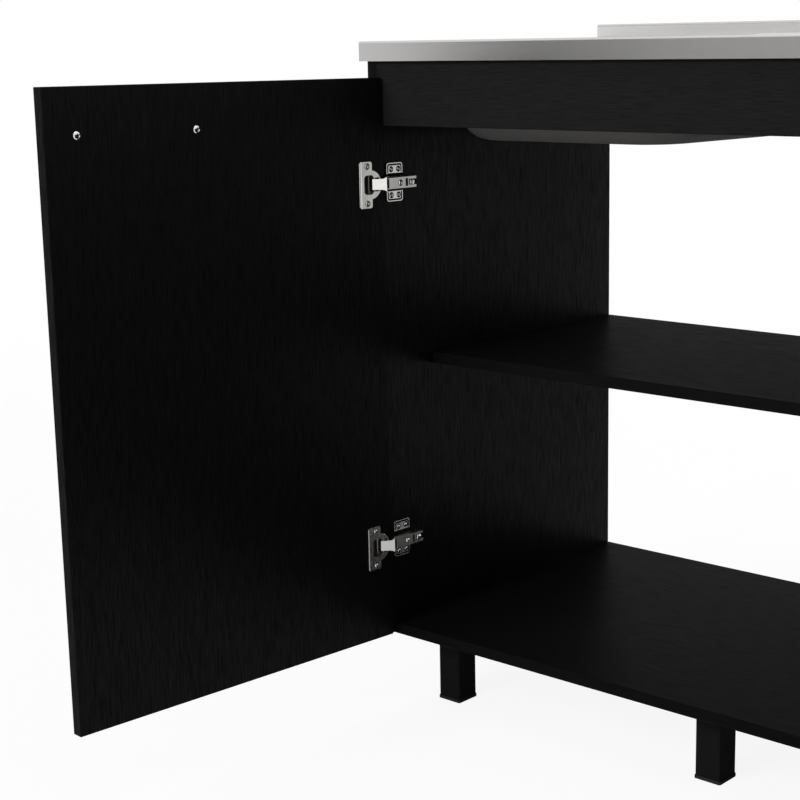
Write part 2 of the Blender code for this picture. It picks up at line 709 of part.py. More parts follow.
def add_plate(frame, label, height):
    """The mounting plate on the side panel: two wings and the ridge that the arm is clamped on."""
    half = PLATE_HEIGHT / 2
    top = SEAT_GAP + PLATE_THICKNESS
    outline = rounded_rectangle((PLATE_FRONT, height - half), (PLATE_REAR, height + half), PLATE_CORNER)
    plate = add_part("hinge_plate_" + label, face_slab(frame, outline, SEAT_GAP, top, False), "nickel", frame)
    ridge_half = ARM_HALF_HEIGHT - ARM_SHEET - SEAT_GAP
    ridge_top = ARM_PIN_INSET + ARM_NOSE - ARM_SHEET - SEAT_GAP
    join(plate, box(frame.at(BOARD + SEAT_GAP + PLATE_THICKNESS / 2, RIDGE_FRONT, height - ridge_half),
                    frame.at(ridge_top, RIDGE_REAR, height + ridge_half)))
    back = ARM_PIN_INSET + ARM_NOSE
    head_seat = back + SEAT_GAP
    shank_tip = head_seat - CLAMP_SHANK_LENGTH
    cut(plate, rod(frame.at(ridge_top + OVERCUT, CLAMP_SCREW_DEPTH, height),
                   frame.at(shank_tip - SCREW_PLAY, CLAMP_SCREW_DEPTH, height), CLAMP_SHANK_RADIUS + SCREW_PLAY))
    screw = add_part("hinge_clamp_screw_" + label,
                     rod(frame.at(head_seat, CLAMP_SCREW_DEPTH, height),
                         frame.at(head_seat + CLAMP_HEAD_HEIGHT, CLAMP_SCREW_DEPTH, height), CLAMP_HEAD_RADIUS),
                     "nickel", frame)
    join(screw, rod(frame.at(shank_tip, CLAMP_SCREW_DEPTH, height),
                    frame.at(head_seat + CLAMP_HEAD_HEIGHT / 2, CLAMP_SCREW_DEPTH, height), CLAMP_SHANK_RADIUS))


def add_side(root, side):
    """Everything that belongs to one side: panel, shelf pins, hinges and door."""
    fixed = Frame(root, side, HALF_WIDTH, 0.0)
    add_side_panel(fixed)
    add_shelf_pins(fixed)
    link_axis = new_empty(SIDE_NAMES[side] + "_link_axis", fixed.at(ARM_PIN_INSET, ARM_PIN_DEPTH, 0.0),
                          -side * math.radians(LINK_SWING_DEG), root)
    links = Frame(link_axis, side, ARM_PIN_INSET, ARM_PIN_DEPTH)
    pin_inset, pin_depth = open_place(CUP_PIN_INSET, CUP_PIN_DEPTH)
    door_axis = new_empty(SIDE_NAMES[side] + "_door_axis", fixed.at(pin_inset, pin_depth, 0.0),
                          side * math.radians(DOOR_OPEN_DEG), root)
    leaf = Frame(door_axis, side, CUP_PIN_INSET, CUP_PIN_DEPTH)
    add_door(leaf)
    add_handle(leaf)
    for level, height in HINGE_HEIGHTS.items():
        label = "{}_{}".format(SIDE_NAMES[side], level)
        add_cup(leaf, label, height)
        add_link(links, label, height)
        add_arm(fixed, label, height)
        add_plate(fixed, label, height)


clear_scene()
PARTS = new_collection("kitchen_base_cabinet")
CUTTERS = new_collection("cutters")
MATERIALS = {name: new_material(name) for name in FINISHES}
cabinet = new_empty("cabinet", (0.0, front_plane(), 0.0))
whole = Frame(cabinet, LEFT, HALF_WIDTH, 0.0)
add_cross_boards(whole)
add_sink_top(whole)
for leg_name, leg_place in leg_places().items():
    add_leg(whole, leg_name, leg_place)
for cabinet_side in (LEFT, RIGHT):
    add_side(cabinet, cabinet_side)
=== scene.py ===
"""Looks of a dark wood-grain kitchen base cabinet with a steel sink top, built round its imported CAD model."""
import json
import math

import bmesh
import bpy
from mathutils import Matrix, Vector


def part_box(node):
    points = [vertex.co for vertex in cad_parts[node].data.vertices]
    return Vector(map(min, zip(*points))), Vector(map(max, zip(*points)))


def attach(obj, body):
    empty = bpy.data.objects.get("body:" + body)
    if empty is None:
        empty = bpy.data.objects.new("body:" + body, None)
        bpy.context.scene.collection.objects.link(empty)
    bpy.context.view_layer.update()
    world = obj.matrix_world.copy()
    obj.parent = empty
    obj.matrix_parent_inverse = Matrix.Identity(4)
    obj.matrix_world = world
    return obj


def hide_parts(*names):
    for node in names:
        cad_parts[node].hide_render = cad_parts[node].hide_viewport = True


# Camera, in metres and degrees
CAMERA_PLACE = (1.0492, -1.5979, 0.8787)
CAMERA_YAW = 40.954
CAMERA_PITCH = 11.699
CAMERA_ROLL = -0.738
CAMERA_LENS = 76.273
CAMERA_SENSOR = 36.0
CAMERA_SHIFT_X = -0.085

# Studio
FLOOR_HALF = 80.0
FLOOR_COLOUR = (0.90, 0.90, 0.90)
FLOOR_GLOW_NEAR = 0.90
FLOOR_GLOW_FAR = 1.0
FLOOR_GLOW_REACH = (1.0, 4.5)
WORLD_FILL = 0.16
LAMP_TARGET = (0.0, 0.1, 0.45)
LAMPS = {
    "key": {"place": (-0.9, -4.2, 2.6), "size": (2.2, 2.0), "power": 190.0, "mirrored": False},
    "overhead": {"place": (0.3, -0.4, 3.4), "size": (3.0, 2.4), "power": 30.0, "mirrored": True},
    "rear": {"place": (-1.8, 4.2, 2.4), "size": (2.4, 2.0), "power": 100.0, "mirrored": False},
    "side": {"place": (4.6, 0.8, 2.0), "size": (2.0, 2.0), "power": 190.0, "mirrored": False},
}
FLAG_DEPTH = -7.0
FLAGS = {
    "dark_flag": {"ends": (-6.6, -5.3), "top": 3.4, "colour": (0.04, 0.04, 0.04)},
    "pale_flag": {"ends": (-5.3, 4.0), "top": 1.5, "colour": (0.90, 0.90, 0.90)},
}

# Board finish
BOARD_LOW = (0.0078, 0.0078, 0.0080)
BOARD_HIGH = (0.0112, 0.0111, 0.0110)
BOARD_GLOSS = (0.50, 0.36)
FIBRE = {"scale": 900.0, "detail": 2.0, "rough": 0.5}
FIBRE_STRETCH = 0.045
FIBRE_PLACES = (0.35, 0.60)
PORE_PLACES = (0.40, 0.56)
PORE_LEVELS = (0.0, 1.0)
PORE_BUMP = {"strength": 0.12, "distance": 0.0002}
FILM_PLACES = (0.36, 0.60)
FILM_SPREAD = (0.55, 1.35)
FILM_GLOSS = 0.34
EDGE_BREAK = 0.0006

# Steel finish
STEEL_TINT = (1.0, 0.985, 0.965)
STEEL_SPREAD = (0.98, 1.02)
STEEL_SHEEN = 0.04
BRUSH = {"scale": 1600.0, "detail": 3.0, "rough": 0.65}
BRUSH_STRETCH = 0.01
BRUSH_PLACES = (0.30, 0.70)
BRUSH_BUMP = {"strength": 0.03, "distance": 0.00003}

# Plated and coated finishes
EVEN = (1.0, 1.0, 1.0)
SMEAR = {"scale": 90.0, "detail": 2.0, "rough": 0.4}
SMEAR_PLACES = (0.3, 0.7)
SMEAR_SHEEN = 0.05
SMEAR_BUMP = {"strength": 0.01, "distance": 0.00003}
PEEL = {"scale": 900.0, "detail": 2.0, "rough": 0.5}
PEEL_PLACES = (0.3, 0.7)
PEEL_SHADE = 1.5
PEEL_SHEEN = 0.1
PEEL_SPECULAR = 0.003
PEEL_BUMP = {"strength": 0.1, "distance": 0.0001}

# Boards and doors, in metres, as the CAD model has them
BOARD = 0.015
SEAT_GAP = 0.0003
DOOR_MARGIN = 0.001
DOOR_GAP = 0.0025
DOOR_THICKNESS = 0.015
DOOR_WIDTH = 0.4895

# Hinge cup and flange
CUP_MIDDLE = 0.0225
CUP_RADIUS = 0.0175
CUP_SINK = 0.0115
CUP_WALL = 0.0012
CUP_FOOT = 0.0015
RIM_RADIUS = 0.019
RIM_TOP = 0.0012
RIM_SLOPE = 0.0006
FLANGE_SEAT = 0.0003
FLANGE_TOP = 0.0016
FLANGE_NEAR = 0.0203
FLANGE_WIDTH = 0.0217
FLANGE_HEIGHT = 0.059
FLANGE_CORNER = 0.003
FLANGE_LIP = 0.0034
FLANGE_LIP_TOP = 0.0024
FLANGE_LIP_ROUND = 0.0015
FLANGE_LIP_SLOPE = 0.0008
FLANGE_SCREW = 0.0027
FLANGE_SCREW_HEIGHT = 0.0014
FLANGE_SCREW_PLACE = 0.0285
FLANGE_SCREW_UP = 0.0237
FLANGE_SCREWS = [(FLANGE_SCREW_PLACE, up) for up in (FLANGE_SCREW_UP, -FLANGE_SCREW_UP)]
FLANGE_SCREW_TURNS = (20, 65)
SCREW_ROOM = 0.0015
SCREW_SEAT = 0.0009
POCKET_NEAR = 0.017
POCKET_FAR = 0.0338
POCKET_HALF = 0.0123
POCKET_CORNER = 0.005
MOUTH_NEAR = 0.0085
MOUTH_HALF = 0.0088
MOUTH_CORNER = 0.0015
STOP_PLACE = 0.0183
STOP_SINK = 0.0077
STOP_RADIUS = 0.0016

# Hinge link and arm
LINK_THICKNESS = 0.0018
LINK_RISE_AT_ARM = 0.0066
LINK_RISE_AT_CUP = 0.0009
LINK_START = 0.0022
LINK_OVERRUN = 0.0036
LINK_HALF = 0.0068
LINK_EAR_INSIDE = 0.0075
LINK_EAR_HALF = 0.0087
LINK_EAR_RADIUS = 0.0026
LINK_FLARE = 0.45
LINK_EYE = 0.0017
LINK_TUCK = 0.0002
LINK_STEPS = 16
LINK_EDGE = 0.0004
PIN_HOLE = 0.0013
ARM_NOSE = 0.0028
ARM_HALF = 0.0072
ARM_SHEET = 0.0012
ARM_REAR = 0.053
ARM_FOOT_FRONT = 0.014
ARM_FOOT_RISE = 0.0035
ARM_MOUTH = 0.0016
ARM_SLOT = (0.0326, 0.0372)
ARM_SLOT_HALF = 0.0050
PRONG_FRONT = 0.0392
PRONG_INSIDE = 0.0036
ADJUSTER = 0.0032
ADJUSTER_HOLE = 0.0040
ADJUSTER_DEPTH = 0.0229
ADJUSTER_HEIGHT = 0.0024
ADJUSTER_SHANK = 0.004
ADJUSTER_TURN = 30
CLAMP_DEPTH = 0.044
CLAMP_HEAD = 0.0040
CLAMP_HEIGHT = 0.0017
CLAMP_SHANK = 0.0018
CLAMP_LENGTH = 0.0090
CLAMP_TURN = 50

# Hinge mounting plate
PLATE_SEAT = 0.0003
PLATE_TOP = 0.0024
PLATE_RIM = 0.0013
GROOVE_WIDTH = 0.0021
GROOVE_FLOOR = 0.0
PLATE_FRONT = 0.013
PLATE_REAR = 0.043
PLATE_HEIGHT = 0.050
PLATE_CORNER = 0.004
GROOVE_END = 0.0125
RIDGE_FRONT = 0.0145
RIDGE_REAR = 0.050
RIDGE_LOW = 0.009
RIDGE_PLAY = 0.0003
CRADLE_INSIDE = 0.0077
CRADLE_OUTSIDE = 0.0116
CRADLE_CREST = 0.0081
CRADLE_TOP = 0.0075
CRADLE_REAR = 0.042
PLATE_SCREW = 0.0025
PLATE_SCREW_HEIGHT = 0.0017
PLATE_SCREW_DEPTHS = (0.0215, 0.0352)
PLATE_SCREW_UP = 0.0168
PLATE_SCREWS = [(depth, up) for up in (PLATE_SCREW_UP, -PLATE_SCREW_UP) for depth in PLATE_SCREW_DEPTHS]
PLATE_SCREW_TURNS = (15, 70, 40, 5)
HINGE_HEIGHTS = {"upper": 0.7105, "lower": 0.230}
HINGE_EDGE = 0.0005

# Screw heads, as shares of their radius or height
RIM_SHARE = 0.35
CROWN_ANGLES = (0, 20, 40, 60, 80)
RECESS_REACH = 0.48
RECESS_WIDTH = 0.13
RECESS_FLOOR = 0.12
RECESS_SHADE = 0.6

# Handles and shelf pins
HANDLE_HEIGHT = 0.7915
HANDLE_SPACING = 0.160
HANDLE_FROM_FREE_EDGE = 0.041
HANDLE_STANDOFF = 0.028
HANDLE_BAR = 0.005
HANDLE_OVERRUN = 0.020
HANDLE_BAR_END = 0.0009
HANDLE_POST = 0.0045
HANDLE_POST_FOOT = 0.0062
HANDLE_FOOT_HEIGHT = 0.0016
HANDLE_SCREW = 0.0045
HANDLE_SCREW_HEIGHT = 0.0017
HANDLE_SCREW_SHANK = 0.002
HANDLE_SCREW_BITE = 0.009
HANDLE_SCREW_TURN = 25
PIN_GROOVE = 0.0004
PIN_CHAMFER = 0.0006

# Sink top
SHEET = 0.001
LIP_HEIGHT = 0.022
LIP_THICKNESS = 0.010
SKIRT = 0.025
FOLD = 0.003
LIP_FILLET = 0.004
END_ROUND = 0.002
END_ANGLES = (0, 15, 30, 45, 60, 75, 90)
BOWL_FROM_END = 0.058
BOWL_FROM_FRONT = 0.068
BOWL_WIDTH = 0.375
BOWL_LENGTH = 0.400
BOWL_DEPTH = 0.126
BOWL_CORNER = 0.090
BOWL_RIM = 0.008
BOWL_RIM_ANGLE = 80
BOWL_UNDER_ANGLE = 85
BOWL_DRAFT = 0.004
BOWL_FLOOR_ROUND = 0.040
BOWL_STEPS = 10
BOWL_CORNER_STEPS = 14
DRAIN_RADIUS = 0.045
DRAIN_SEAT = 0.057
DRAIN_DROP = 0.0025
UNDER_TILT = 0.3
UNDER_REACH = 0.005
OVERCUT = 0.004
RIB_COUNT = 9
RIB_SPACING = 0.040
RIB_ENDS = (0.020, 0.430)
RIB_HALF = 0.006
RIB_HEIGHT = 0.0016
RIB_STEPS = 8
RIB_SIDES = 18
RIB_TIP_SHARE = 0.12

# Mesh steps and angles
ARC_STEPS = 8
ROUND_SIDES = 48
SCREW_SIDES = 28
HOLE_SIDES = 24
PIN_SIDES = 12
EDGE_STEPS = 2
WELD = 0.000005
SMOOTH_ANGLE = math.radians(33)
FLAT_ANGLE = math.radians(0.4)

# Which of a piece's other materials a marked face wears
FIRST_OTHER = 1
SECOND_OTHER = 2

WHITE = (1.0, 1.0, 1.0, 1.0)


class Nodes:
    """The node tree of a material or world, with short ways to add and link nodes."""

    def __init__(self, owner):
        owner.use_nodes = True
        self.tree = owner.node_tree
        self.tree.nodes.clear()

    def add(self, kind, **settings):
        node = self.tree.nodes.new(kind)
        for name, value in settings.items():
            setattr(node, name, value)
        return node

    def link(self, output, target):
        self.tree.links.new(output, target)


def background_share(nodes):
    """One for the rays that should see a white background, and zero for the rest."""
    path = nodes.add("ShaderNodeLightPath")
    first = nodes.add("ShaderNodeMath", operation="MAXIMUM")
    both = nodes.add("ShaderNodeMath", operation="MAXIMUM")
    nodes.link(path.outputs["Is Camera Ray"], first.inputs[0])
    nodes.link(path.outputs["Is Glossy Ray"], first.inputs[1])
    nodes.link(first.outputs[0], both.inputs[0])
    nodes.link(path.outputs["Is Transmission Ray"], both.inputs[1])
    return both.outputs[0]


def make_world():
    world = bpy.data.worlds.new("studio")
    bpy.context.scene.world = world
    nodes = Nodes(world)
    fill = nodes.add("ShaderNodeBackground")
    fill.inputs["Color"].default_value = WHITE
    fill.inputs["Strength"].default_value = WORLD_FILL
    seen = nodes.add("ShaderNodeBackground")
    seen.inputs["Color"].default_value = WHITE
    seen.inputs["Strength"].default_value = 1.0
    mix = nodes.add("ShaderNodeMixShader")
    out = nodes.add("ShaderNodeOutputWorld")
    nodes.link(background_share(nodes), mix.inputs[0])
    nodes.link(fill.outputs[0], mix.inputs[1])
    nodes.link(seen.outputs[0], mix.inputs[2])
    nodes.link(mix.outputs[0], out.inputs["Surface"])


def flat_sheet(name, corners):
    """An object of one flat face."""
    bm = bmesh.new()
    bm.faces.new([bm.verts.new(corner) for corner in corners])
    mesh = bpy.data.meshes.new(name)
    bm.to_mesh(mesh)
    bm.free()
    sheet = bpy.data.objects.new(name, mesh)
    bpy.context.scene.collection.objects.link(sheet)
    return sheet


def make_floor():
    """A pale floor that the camera sees as nearly white, with the object's soft shadow."""
    outline = rectangle((-FLOOR_HALF, -FLOOR_HALF), (FLOOR_HALF, FLOOR_HALF))
    floor = flat_sheet("floor", [(x, y, 0.0) for x, y in outline])
    material = bpy.data.materials.new("floor_paper")
    nodes = Nodes(material)
    paper = nodes.add("ShaderNodeBsdfDiffuse")
    paper.inputs["Color"].default_value = (*FLOOR_COLOUR, 1.0)
    glow = nodes.add("ShaderNodeEmission")
    glow.inputs["Color"].default_value = WHITE
    place = nodes.add("ShaderNodeTexCoord")
    distance = nodes.add("ShaderNodeVectorMath", operation="LENGTH")
    nodes.link(place.outputs["Object"], distance.inputs[0])
    fade = nodes.add("ShaderNodeMapRange", interpolation_type="SMOOTHSTEP")
    for socket, value in zip(("From Min", "From Max", "To Min", "To Max"),
                             (*FLOOR_GLOW_REACH, FLOOR_GLOW_NEAR, FLOOR_GLOW_FAR)):
        fade.inputs[socket].default_value = value
    nodes.link(distance.outputs["Value"], fade.inputs["Value"])
    share = nodes.add("ShaderNodeMath", operation="MULTIPLY")
    nodes.link(fade.outputs["Result"], share.inputs[1])
    mix = nodes.add("ShaderNodeMixShader")
    out = nodes.add("ShaderNodeOutputMaterial")
    nodes.link(background_share(nodes), share.inputs[0])
    nodes.link(share.outputs[0], mix.inputs[0])
    nodes.link(paper.outputs[0], mix.inputs[1])
    nodes.link(glow.outputs[0], mix.inputs[2])
    nodes.link(mix.outputs[0], out.inputs["Surface"])
    floor.data.materials.append(material)


def make_flag(name, ends, top, colour):
    """A length of cloth behind the camera, which the steel's front edge mirrors."""
    outline = rectangle((ends[0], 0.0), (ends[1], top))
    flag = flat_sheet(name, [(x, FLAG_DEPTH, z) for x, z in outline])
    flag.visible_camera = False
    material = bpy.data.materials.new(name + "_cloth")
    nodes = Nodes(material)
    cloth = nodes.add("ShaderNodeBsdfDiffuse")
    cloth.inputs["Color"].default_value = (*colour, 1.0)
    out = nodes.add("ShaderNodeOutputMaterial")
    nodes.link(cloth.outputs[0], out.inputs["Surface"])
    flag.data.materials.append(material)


def make_lamp(name, place, size, power, mirrored):
    """A soft lamp aimed at the cabinet; one that isn't mirrored leaves no glare on the steel."""
    data = bpy.data.lights.new(name, "AREA")
    data.shape = "RECTANGLE"
    data.size, data.size_y = size
    data.energy = power
    lamp = bpy.data.objects.new(name, data)
    lamp.location = place
    lamp.rotation_mode = "QUATERNION"
    lamp.rotation_quaternion = (Vector(LAMP_TARGET) - Vector(place)).to_track_quat("-Z", "Y")
    lamp.visible_glossy = mirrored
    bpy.context.scene.collection.objects.link(lamp)


def make_camera():
    """The camera stands where the photograph was taken from.

    Its sideways shift is less than the photograph's, so that other views keep the whole cabinet.
    """
    yaw, pitch, roll = (math.radians(angle) for angle in (CAMERA_YAW, CAMERA_PITCH, CAMERA_ROLL))
    level = Matrix.Rotation(yaw, 3, "Z") @ Matrix.Rotation(math.pi / 2 - pitch, 3, "X")
    turn = level @ Matrix.Rotation(roll, 3, "Z")
    data = bpy.data.cameras.new("camera")
    data.sensor_width = CAMERA_SENSOR
    data.lens = CAMERA_LENS
    data.shift_x = CAMERA_SHIFT_X
    camera = bpy.data.objects.new("camera", data)
    camera.matrix_world = Matrix.Translation(CAMERA_PLACE) @ turn.to_4x4()
    bpy.context.scene.collection.objects.link(camera)
    bpy.context.scene.camera = camera


def new_material(name):
    """A material, its nodes and its shader."""
    material = bpy.data.materials.new(name)
    nodes = Nodes(material)
    surface = nodes.add("ShaderNodeBsdfPrincipled")
    out = nodes.add("ShaderNodeOutputMaterial")
    nodes.link(surface.outputs[0], out.inputs["Surface"])
    return material, nodes, surface


def drawn_out(axis, share):
    """A scale that draws a texture out along one axis."""
    return tuple(share if letter == axis else 1.0 for letter in "XYZ")


def noise(nodes, stretch, scale, detail, rough):
    """Noise in the piece's own coordinates."""
    place = nodes.add("ShaderNodeTexCoord")
    mapping = nodes.add("ShaderNodeMapping")
    mapping.inputs["Scale"].default_value = stretch
    nodes.link(place.outputs["Object"], mapping.inputs["Vector"])
    texture = nodes.add("ShaderNodeTexNoise")
    texture.inputs["Scale"].default_value = scale
    texture.inputs["Detail"].default_value = detail
    texture.inputs["Roughness"].default_value = rough
    nodes.link(mapping.outputs[0], texture.inputs["Vector"])
    return texture.outputs["Fac"]


def ramp(nodes, value, places, levels):
    """A blend from one level to another between two places; a level is a grey or a colour."""
    node = nodes.add("ShaderNodeValToRGB")
    for element, place, level in zip(node.color_ramp.elements, places, levels):
        colour = level if isinstance(level, tuple) else (level, level, level)
        element.position = place
        element.color = (*colour, 1.0)
    nodes.link(value, node.inputs[0])
    return node.outputs["Color"]


def bump(nodes, height, surface, strength, distance):
    node = nodes.add("ShaderNodeBump")
    node.inputs["Strength"].default_value = strength
    node.inputs["Distance"].default_value = distance
    nodes.link(height, node.inputs["Height"])
    nodes.link(node.outputs[0], surface.inputs["Normal"])


def board_material(name, grain, tone, specular, coat=0.0):
    """Black melamine with an open wood grain along one axis.

    The tone scales its colour, which here paints the light or shade that each board gets, and the coat is the
    weight of a clear film.
    """
    material, nodes, surface = new_material(name)
    fibre = noise(nodes, drawn_out(grain, FIBRE_STRETCH), **FIBRE)
    pores = ramp(nodes, fibre, PORE_PLACES, PORE_LEVELS)
    colours = [tuple(value * tone for value in colour) for colour in (BOARD_LOW, BOARD_HIGH)]
    nodes.link(ramp(nodes, fibre, FIBRE_PLACES, colours), surface.inputs["Base Color"])
    nodes.link(ramp(nodes, fibre, FIBRE_PLACES, BOARD_GLOSS), surface.inputs["Roughness"])
    surface.inputs["Specular IOR Level"].default_value = specular
    if coat:
        film = ramp(nodes, fibre, FILM_PLACES, [coat * share for share in FILM_SPREAD])
        nodes.link(film, surface.inputs["Coat Weight"])
        surface.inputs["Coat Roughness"].default_value = FILM_GLOSS
    bump(nodes, pores, surface, **PORE_BUMP)
    return material


def steel_material(name, along, level, gloss):
    """Brushed stainless steel with its brush lines along one axis, level bright on average."""
    material, nodes, surface = new_material(name)
    lines = noise(nodes, drawn_out(along, BRUSH_STRETCH), **BRUSH)
    colours = [tuple(tint * level * share for tint in STEEL_TINT) for share in STEEL_SPREAD]
    nodes.link(ramp(nodes, lines, BRUSH_PLACES, colours), surface.inputs["Base Color"])
    sheen = ramp(nodes, lines, BRUSH_PLACES, (gloss, gloss + STEEL_SHEEN))
    nodes.link(sheen, surface.inputs["Roughness"])
    surface.inputs["Metallic"].default_value = 1.0
    bump(nodes, lines, surface, **BRUSH_BUMP)
    return material


def plated_material(name, colour, gloss):
    """Nickel-plated metal with faint smears."""
    material, nodes, surface = new_material(name)
    surface.inputs["Base Color"].default_value = (*colour, 1.0)
    surface.inputs["Metallic"].default_value = 1.0
    smear = noise(nodes, EVEN, **SMEAR)
    sheen = ramp(nodes, smear, SMEAR_PLACES, (gloss, gloss + SMEAR_SHEEN))
    nodes.link(sheen, surface.inputs["Roughness"])
    bump(nodes, smear, surface, **SMEAR_BUMP)
    return material


def coated_material(name, colour, gloss):
    """A painted, moulded or sprayed coat with a fine orange peel."""
    material, nodes, surface = new_material(name)
    peel = noise(nodes, EVEN, **PEEL)
    shade = tuple(value * PEEL_SHADE for value in colour)
    nodes.link(ramp(nodes, peel, PEEL_PLACES, (colour, shade)), surface.inputs["Base Color"])
    sheen = ramp(nodes, peel, PEEL_PLACES, (gloss, gloss + PEEL_SHEEN))
    nodes.link(sheen, surface.inputs["Roughness"])
    surface.inputs["Specular IOR Level"].default_value = PEEL_SPECULAR
    bump(nodes, peel, surface, **PEEL_BUMP)
    return material


def round_edges(holder, width):
    """Rounds an object's sharp edges by a modifier."""
    modifier = holder.modifiers.new("edges", "BEVEL")
    modifier.width = width
    modifier.segments = EDGE_STEPS
    modifier.limit_method = "ANGLE"
    modifier.angle_limit = SMOOTH_ANGLE
    modifier.harden_normals = True


def dress(node, material):
    """Gives a CAD node its material, and breaks its edges a little."""
    holder = frame["nodes"][node]
    holder.data.materials.clear()
    holder.data.materials.append(material)
    round_edges(holder, EDGE_BREAK)


# Solids: each returns a closed mesh in a piece's own coordinates

def arc(centre, radius, start_deg, end_deg, steps=ARC_STEPS):
    """Points along an arc, both ends included."""
    points = []
    for step in range(steps + 1):
        angle = math.radians(start_deg + (end_deg - start_deg) * step / steps)
        points.append((centre[0] + radius * math.cos(angle), centre[1] + radius * math.sin(angle)))
    return points


def circle(centre, radius, sides):
    return arc(centre, radius, 0, 360 - 360 / sides, sides - 1)


def rectangle(low, high):
    return [(low[0], low[1]), (high[0], low[1]), (high[0], high[1]), (low[0], high[1])]


def rounded_rectangle(low, high, radius, steps=ARC_STEPS):
    corners = (
        (high[0] - radius, high[1] - radius, 0),
        (low[0] + radius, high[1] - radius, 90),
        (low[0] + radius, low[1] + radius, 180),
        (high[0] - radius, low[1] + radius, 270),
    )
    points = []
    for across, up, start in corners:
        points += arc((across, up), radius, start, start + 90, steps)
    return points


def mesh_of(bm):
    """A mesh from a closed bmesh, with its faces turned outwards."""
    if bm.calc_volume(signed=True) < 0:
        bmesh.ops.reverse_faces(bm, faces=bm.faces)
    mesh = bpy.data.meshes.new("solid")
    bm.to_mesh(mesh)
    bm.free()
    return mesh


def loft(rings):
    """A solid through rings of points, closed at its first and last ring."""
    bm = bmesh.new()
    rows = [[bm.verts.new(point) for point in ring] for ring in rings]
    count = len(rows[0])
    for low, high in zip(rows, rows[1:]):
        for spot in range(count):
            after = (spot + 1) % count
            bm.faces.new((low[spot], low[after], high[after], high[spot]))
    bm.faces.new(list(reversed(rows[0])))
    bm.faces.new(rows[-1])
    return mesh_of(bm)


def prism(outline, low, high):
    return loft([[(across, up, level) for across, up in outline] for level in (low, high)])


def turned_solid(profile, sides=ROUND_SIDES):
    """A solid of revolution about the third axis, from radii and heights off the axis."""
    rings = []
    for radius, height in profile:
        rings.append([(*point, height) for point in circle((0.0, 0.0), radius, sides)])
    return loft(rings)


def moved(mesh, place):
    """A copy of a solid with each point sent through place."""
    bm = bmesh.new()
    bm.from_mesh(mesh)
    for vert in bm.verts:
        vert.co = place(*vert.co)
    return mesh_of(bm)


def shifted(mesh, offset):
    return moved(mesh, lambda across, up, level: (across + offset[0], up + offset[1], level + offset[2]))


def combined(body, tool, operation):
    """The Boolean of two solids."""
    holders = [bpy.data.objects.new("holder", mesh) for mesh in (body, tool)]
    for holder in holders:
        bpy.context.scene.collection.objects.link(holder)
    modifier = holders[0].modifiers.new("boolean", "BOOLEAN")
    modifier.object = holders[1]
    modifier.operation = operation
    modifier.solver = "EXACT"
    depsgraph = bpy.context.evaluated_depsgraph_get()
    result = bpy.data.meshes.new_from_object(holders[0].evaluated_get(depsgraph))
    for holder in holders:
        bpy.data.objects.remove(holder)
    return result


def cut(body, *tools):
    for tool in tools:
        body = combined(body, tool, "DIFFERENCE")
    return body


def joined(body, *tools):
    for tool in tools:
        body = combined(body, tool, "UNION")
    return body


def gathered(meshes):
    """Several solids that don't touch, as one mesh."""
    bm = bmesh.new()
    for mesh in meshes:
        bm.from_mesh(mesh)
    mesh = bpy.data.meshes.new("solids")
    bm.to_mesh(mesh)
    bm.free()
    return mesh


def marked(mesh, test, finish=FIRST_OTHER):
    """The solid with the faces whose middles pass a test set to wear another material."""
    for face in mesh.polygons:
        if test(*face.center):
            face.material_index = finish
    return mesh


def near_any(spots, reach):
    """A test of whether a place lies within reach of any spot, both seen from above."""
    return lambda across, up: any(math.dist((across, up), spot) < reach for spot in spots)


def add_piece(name, mesh, material, body, replaced=(), edge=None, others=()):
    """Puts a solid in the scene as a piece that rides on a body.

    The edge is the width of its rounded edges, and marked faces wear the other materials.
    """
    bm = bmesh.new()
    bm.from_mesh(mesh)
    bmesh.ops.remove_doubles(bm, verts=bm.verts, dist=WELD)
    bmesh.ops.dissolve_limit(bm, angle_limit=FLAT_ANGLE, verts=bm.verts, edges=bm.edges)
    bm.to_mesh(mesh)
    bm.free()
    mesh.name = name
    for finish in (material, *others):
        mesh.materials.append(finish)
    mesh.shade_smooth()
    piece = bpy.data.objects.new(name, mesh)
    bpy.context.scene.collection.objects.link(piece)
    if edge:
        round_edges(piece, edge)
    else:
        mesh.set_sharp_from_angle(angle=SMOOTH_ANGLE)
    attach(piece, body)
    if replaced:
        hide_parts(*replaced)
    return piece


# Places: where the frame has each side's door, links and panel

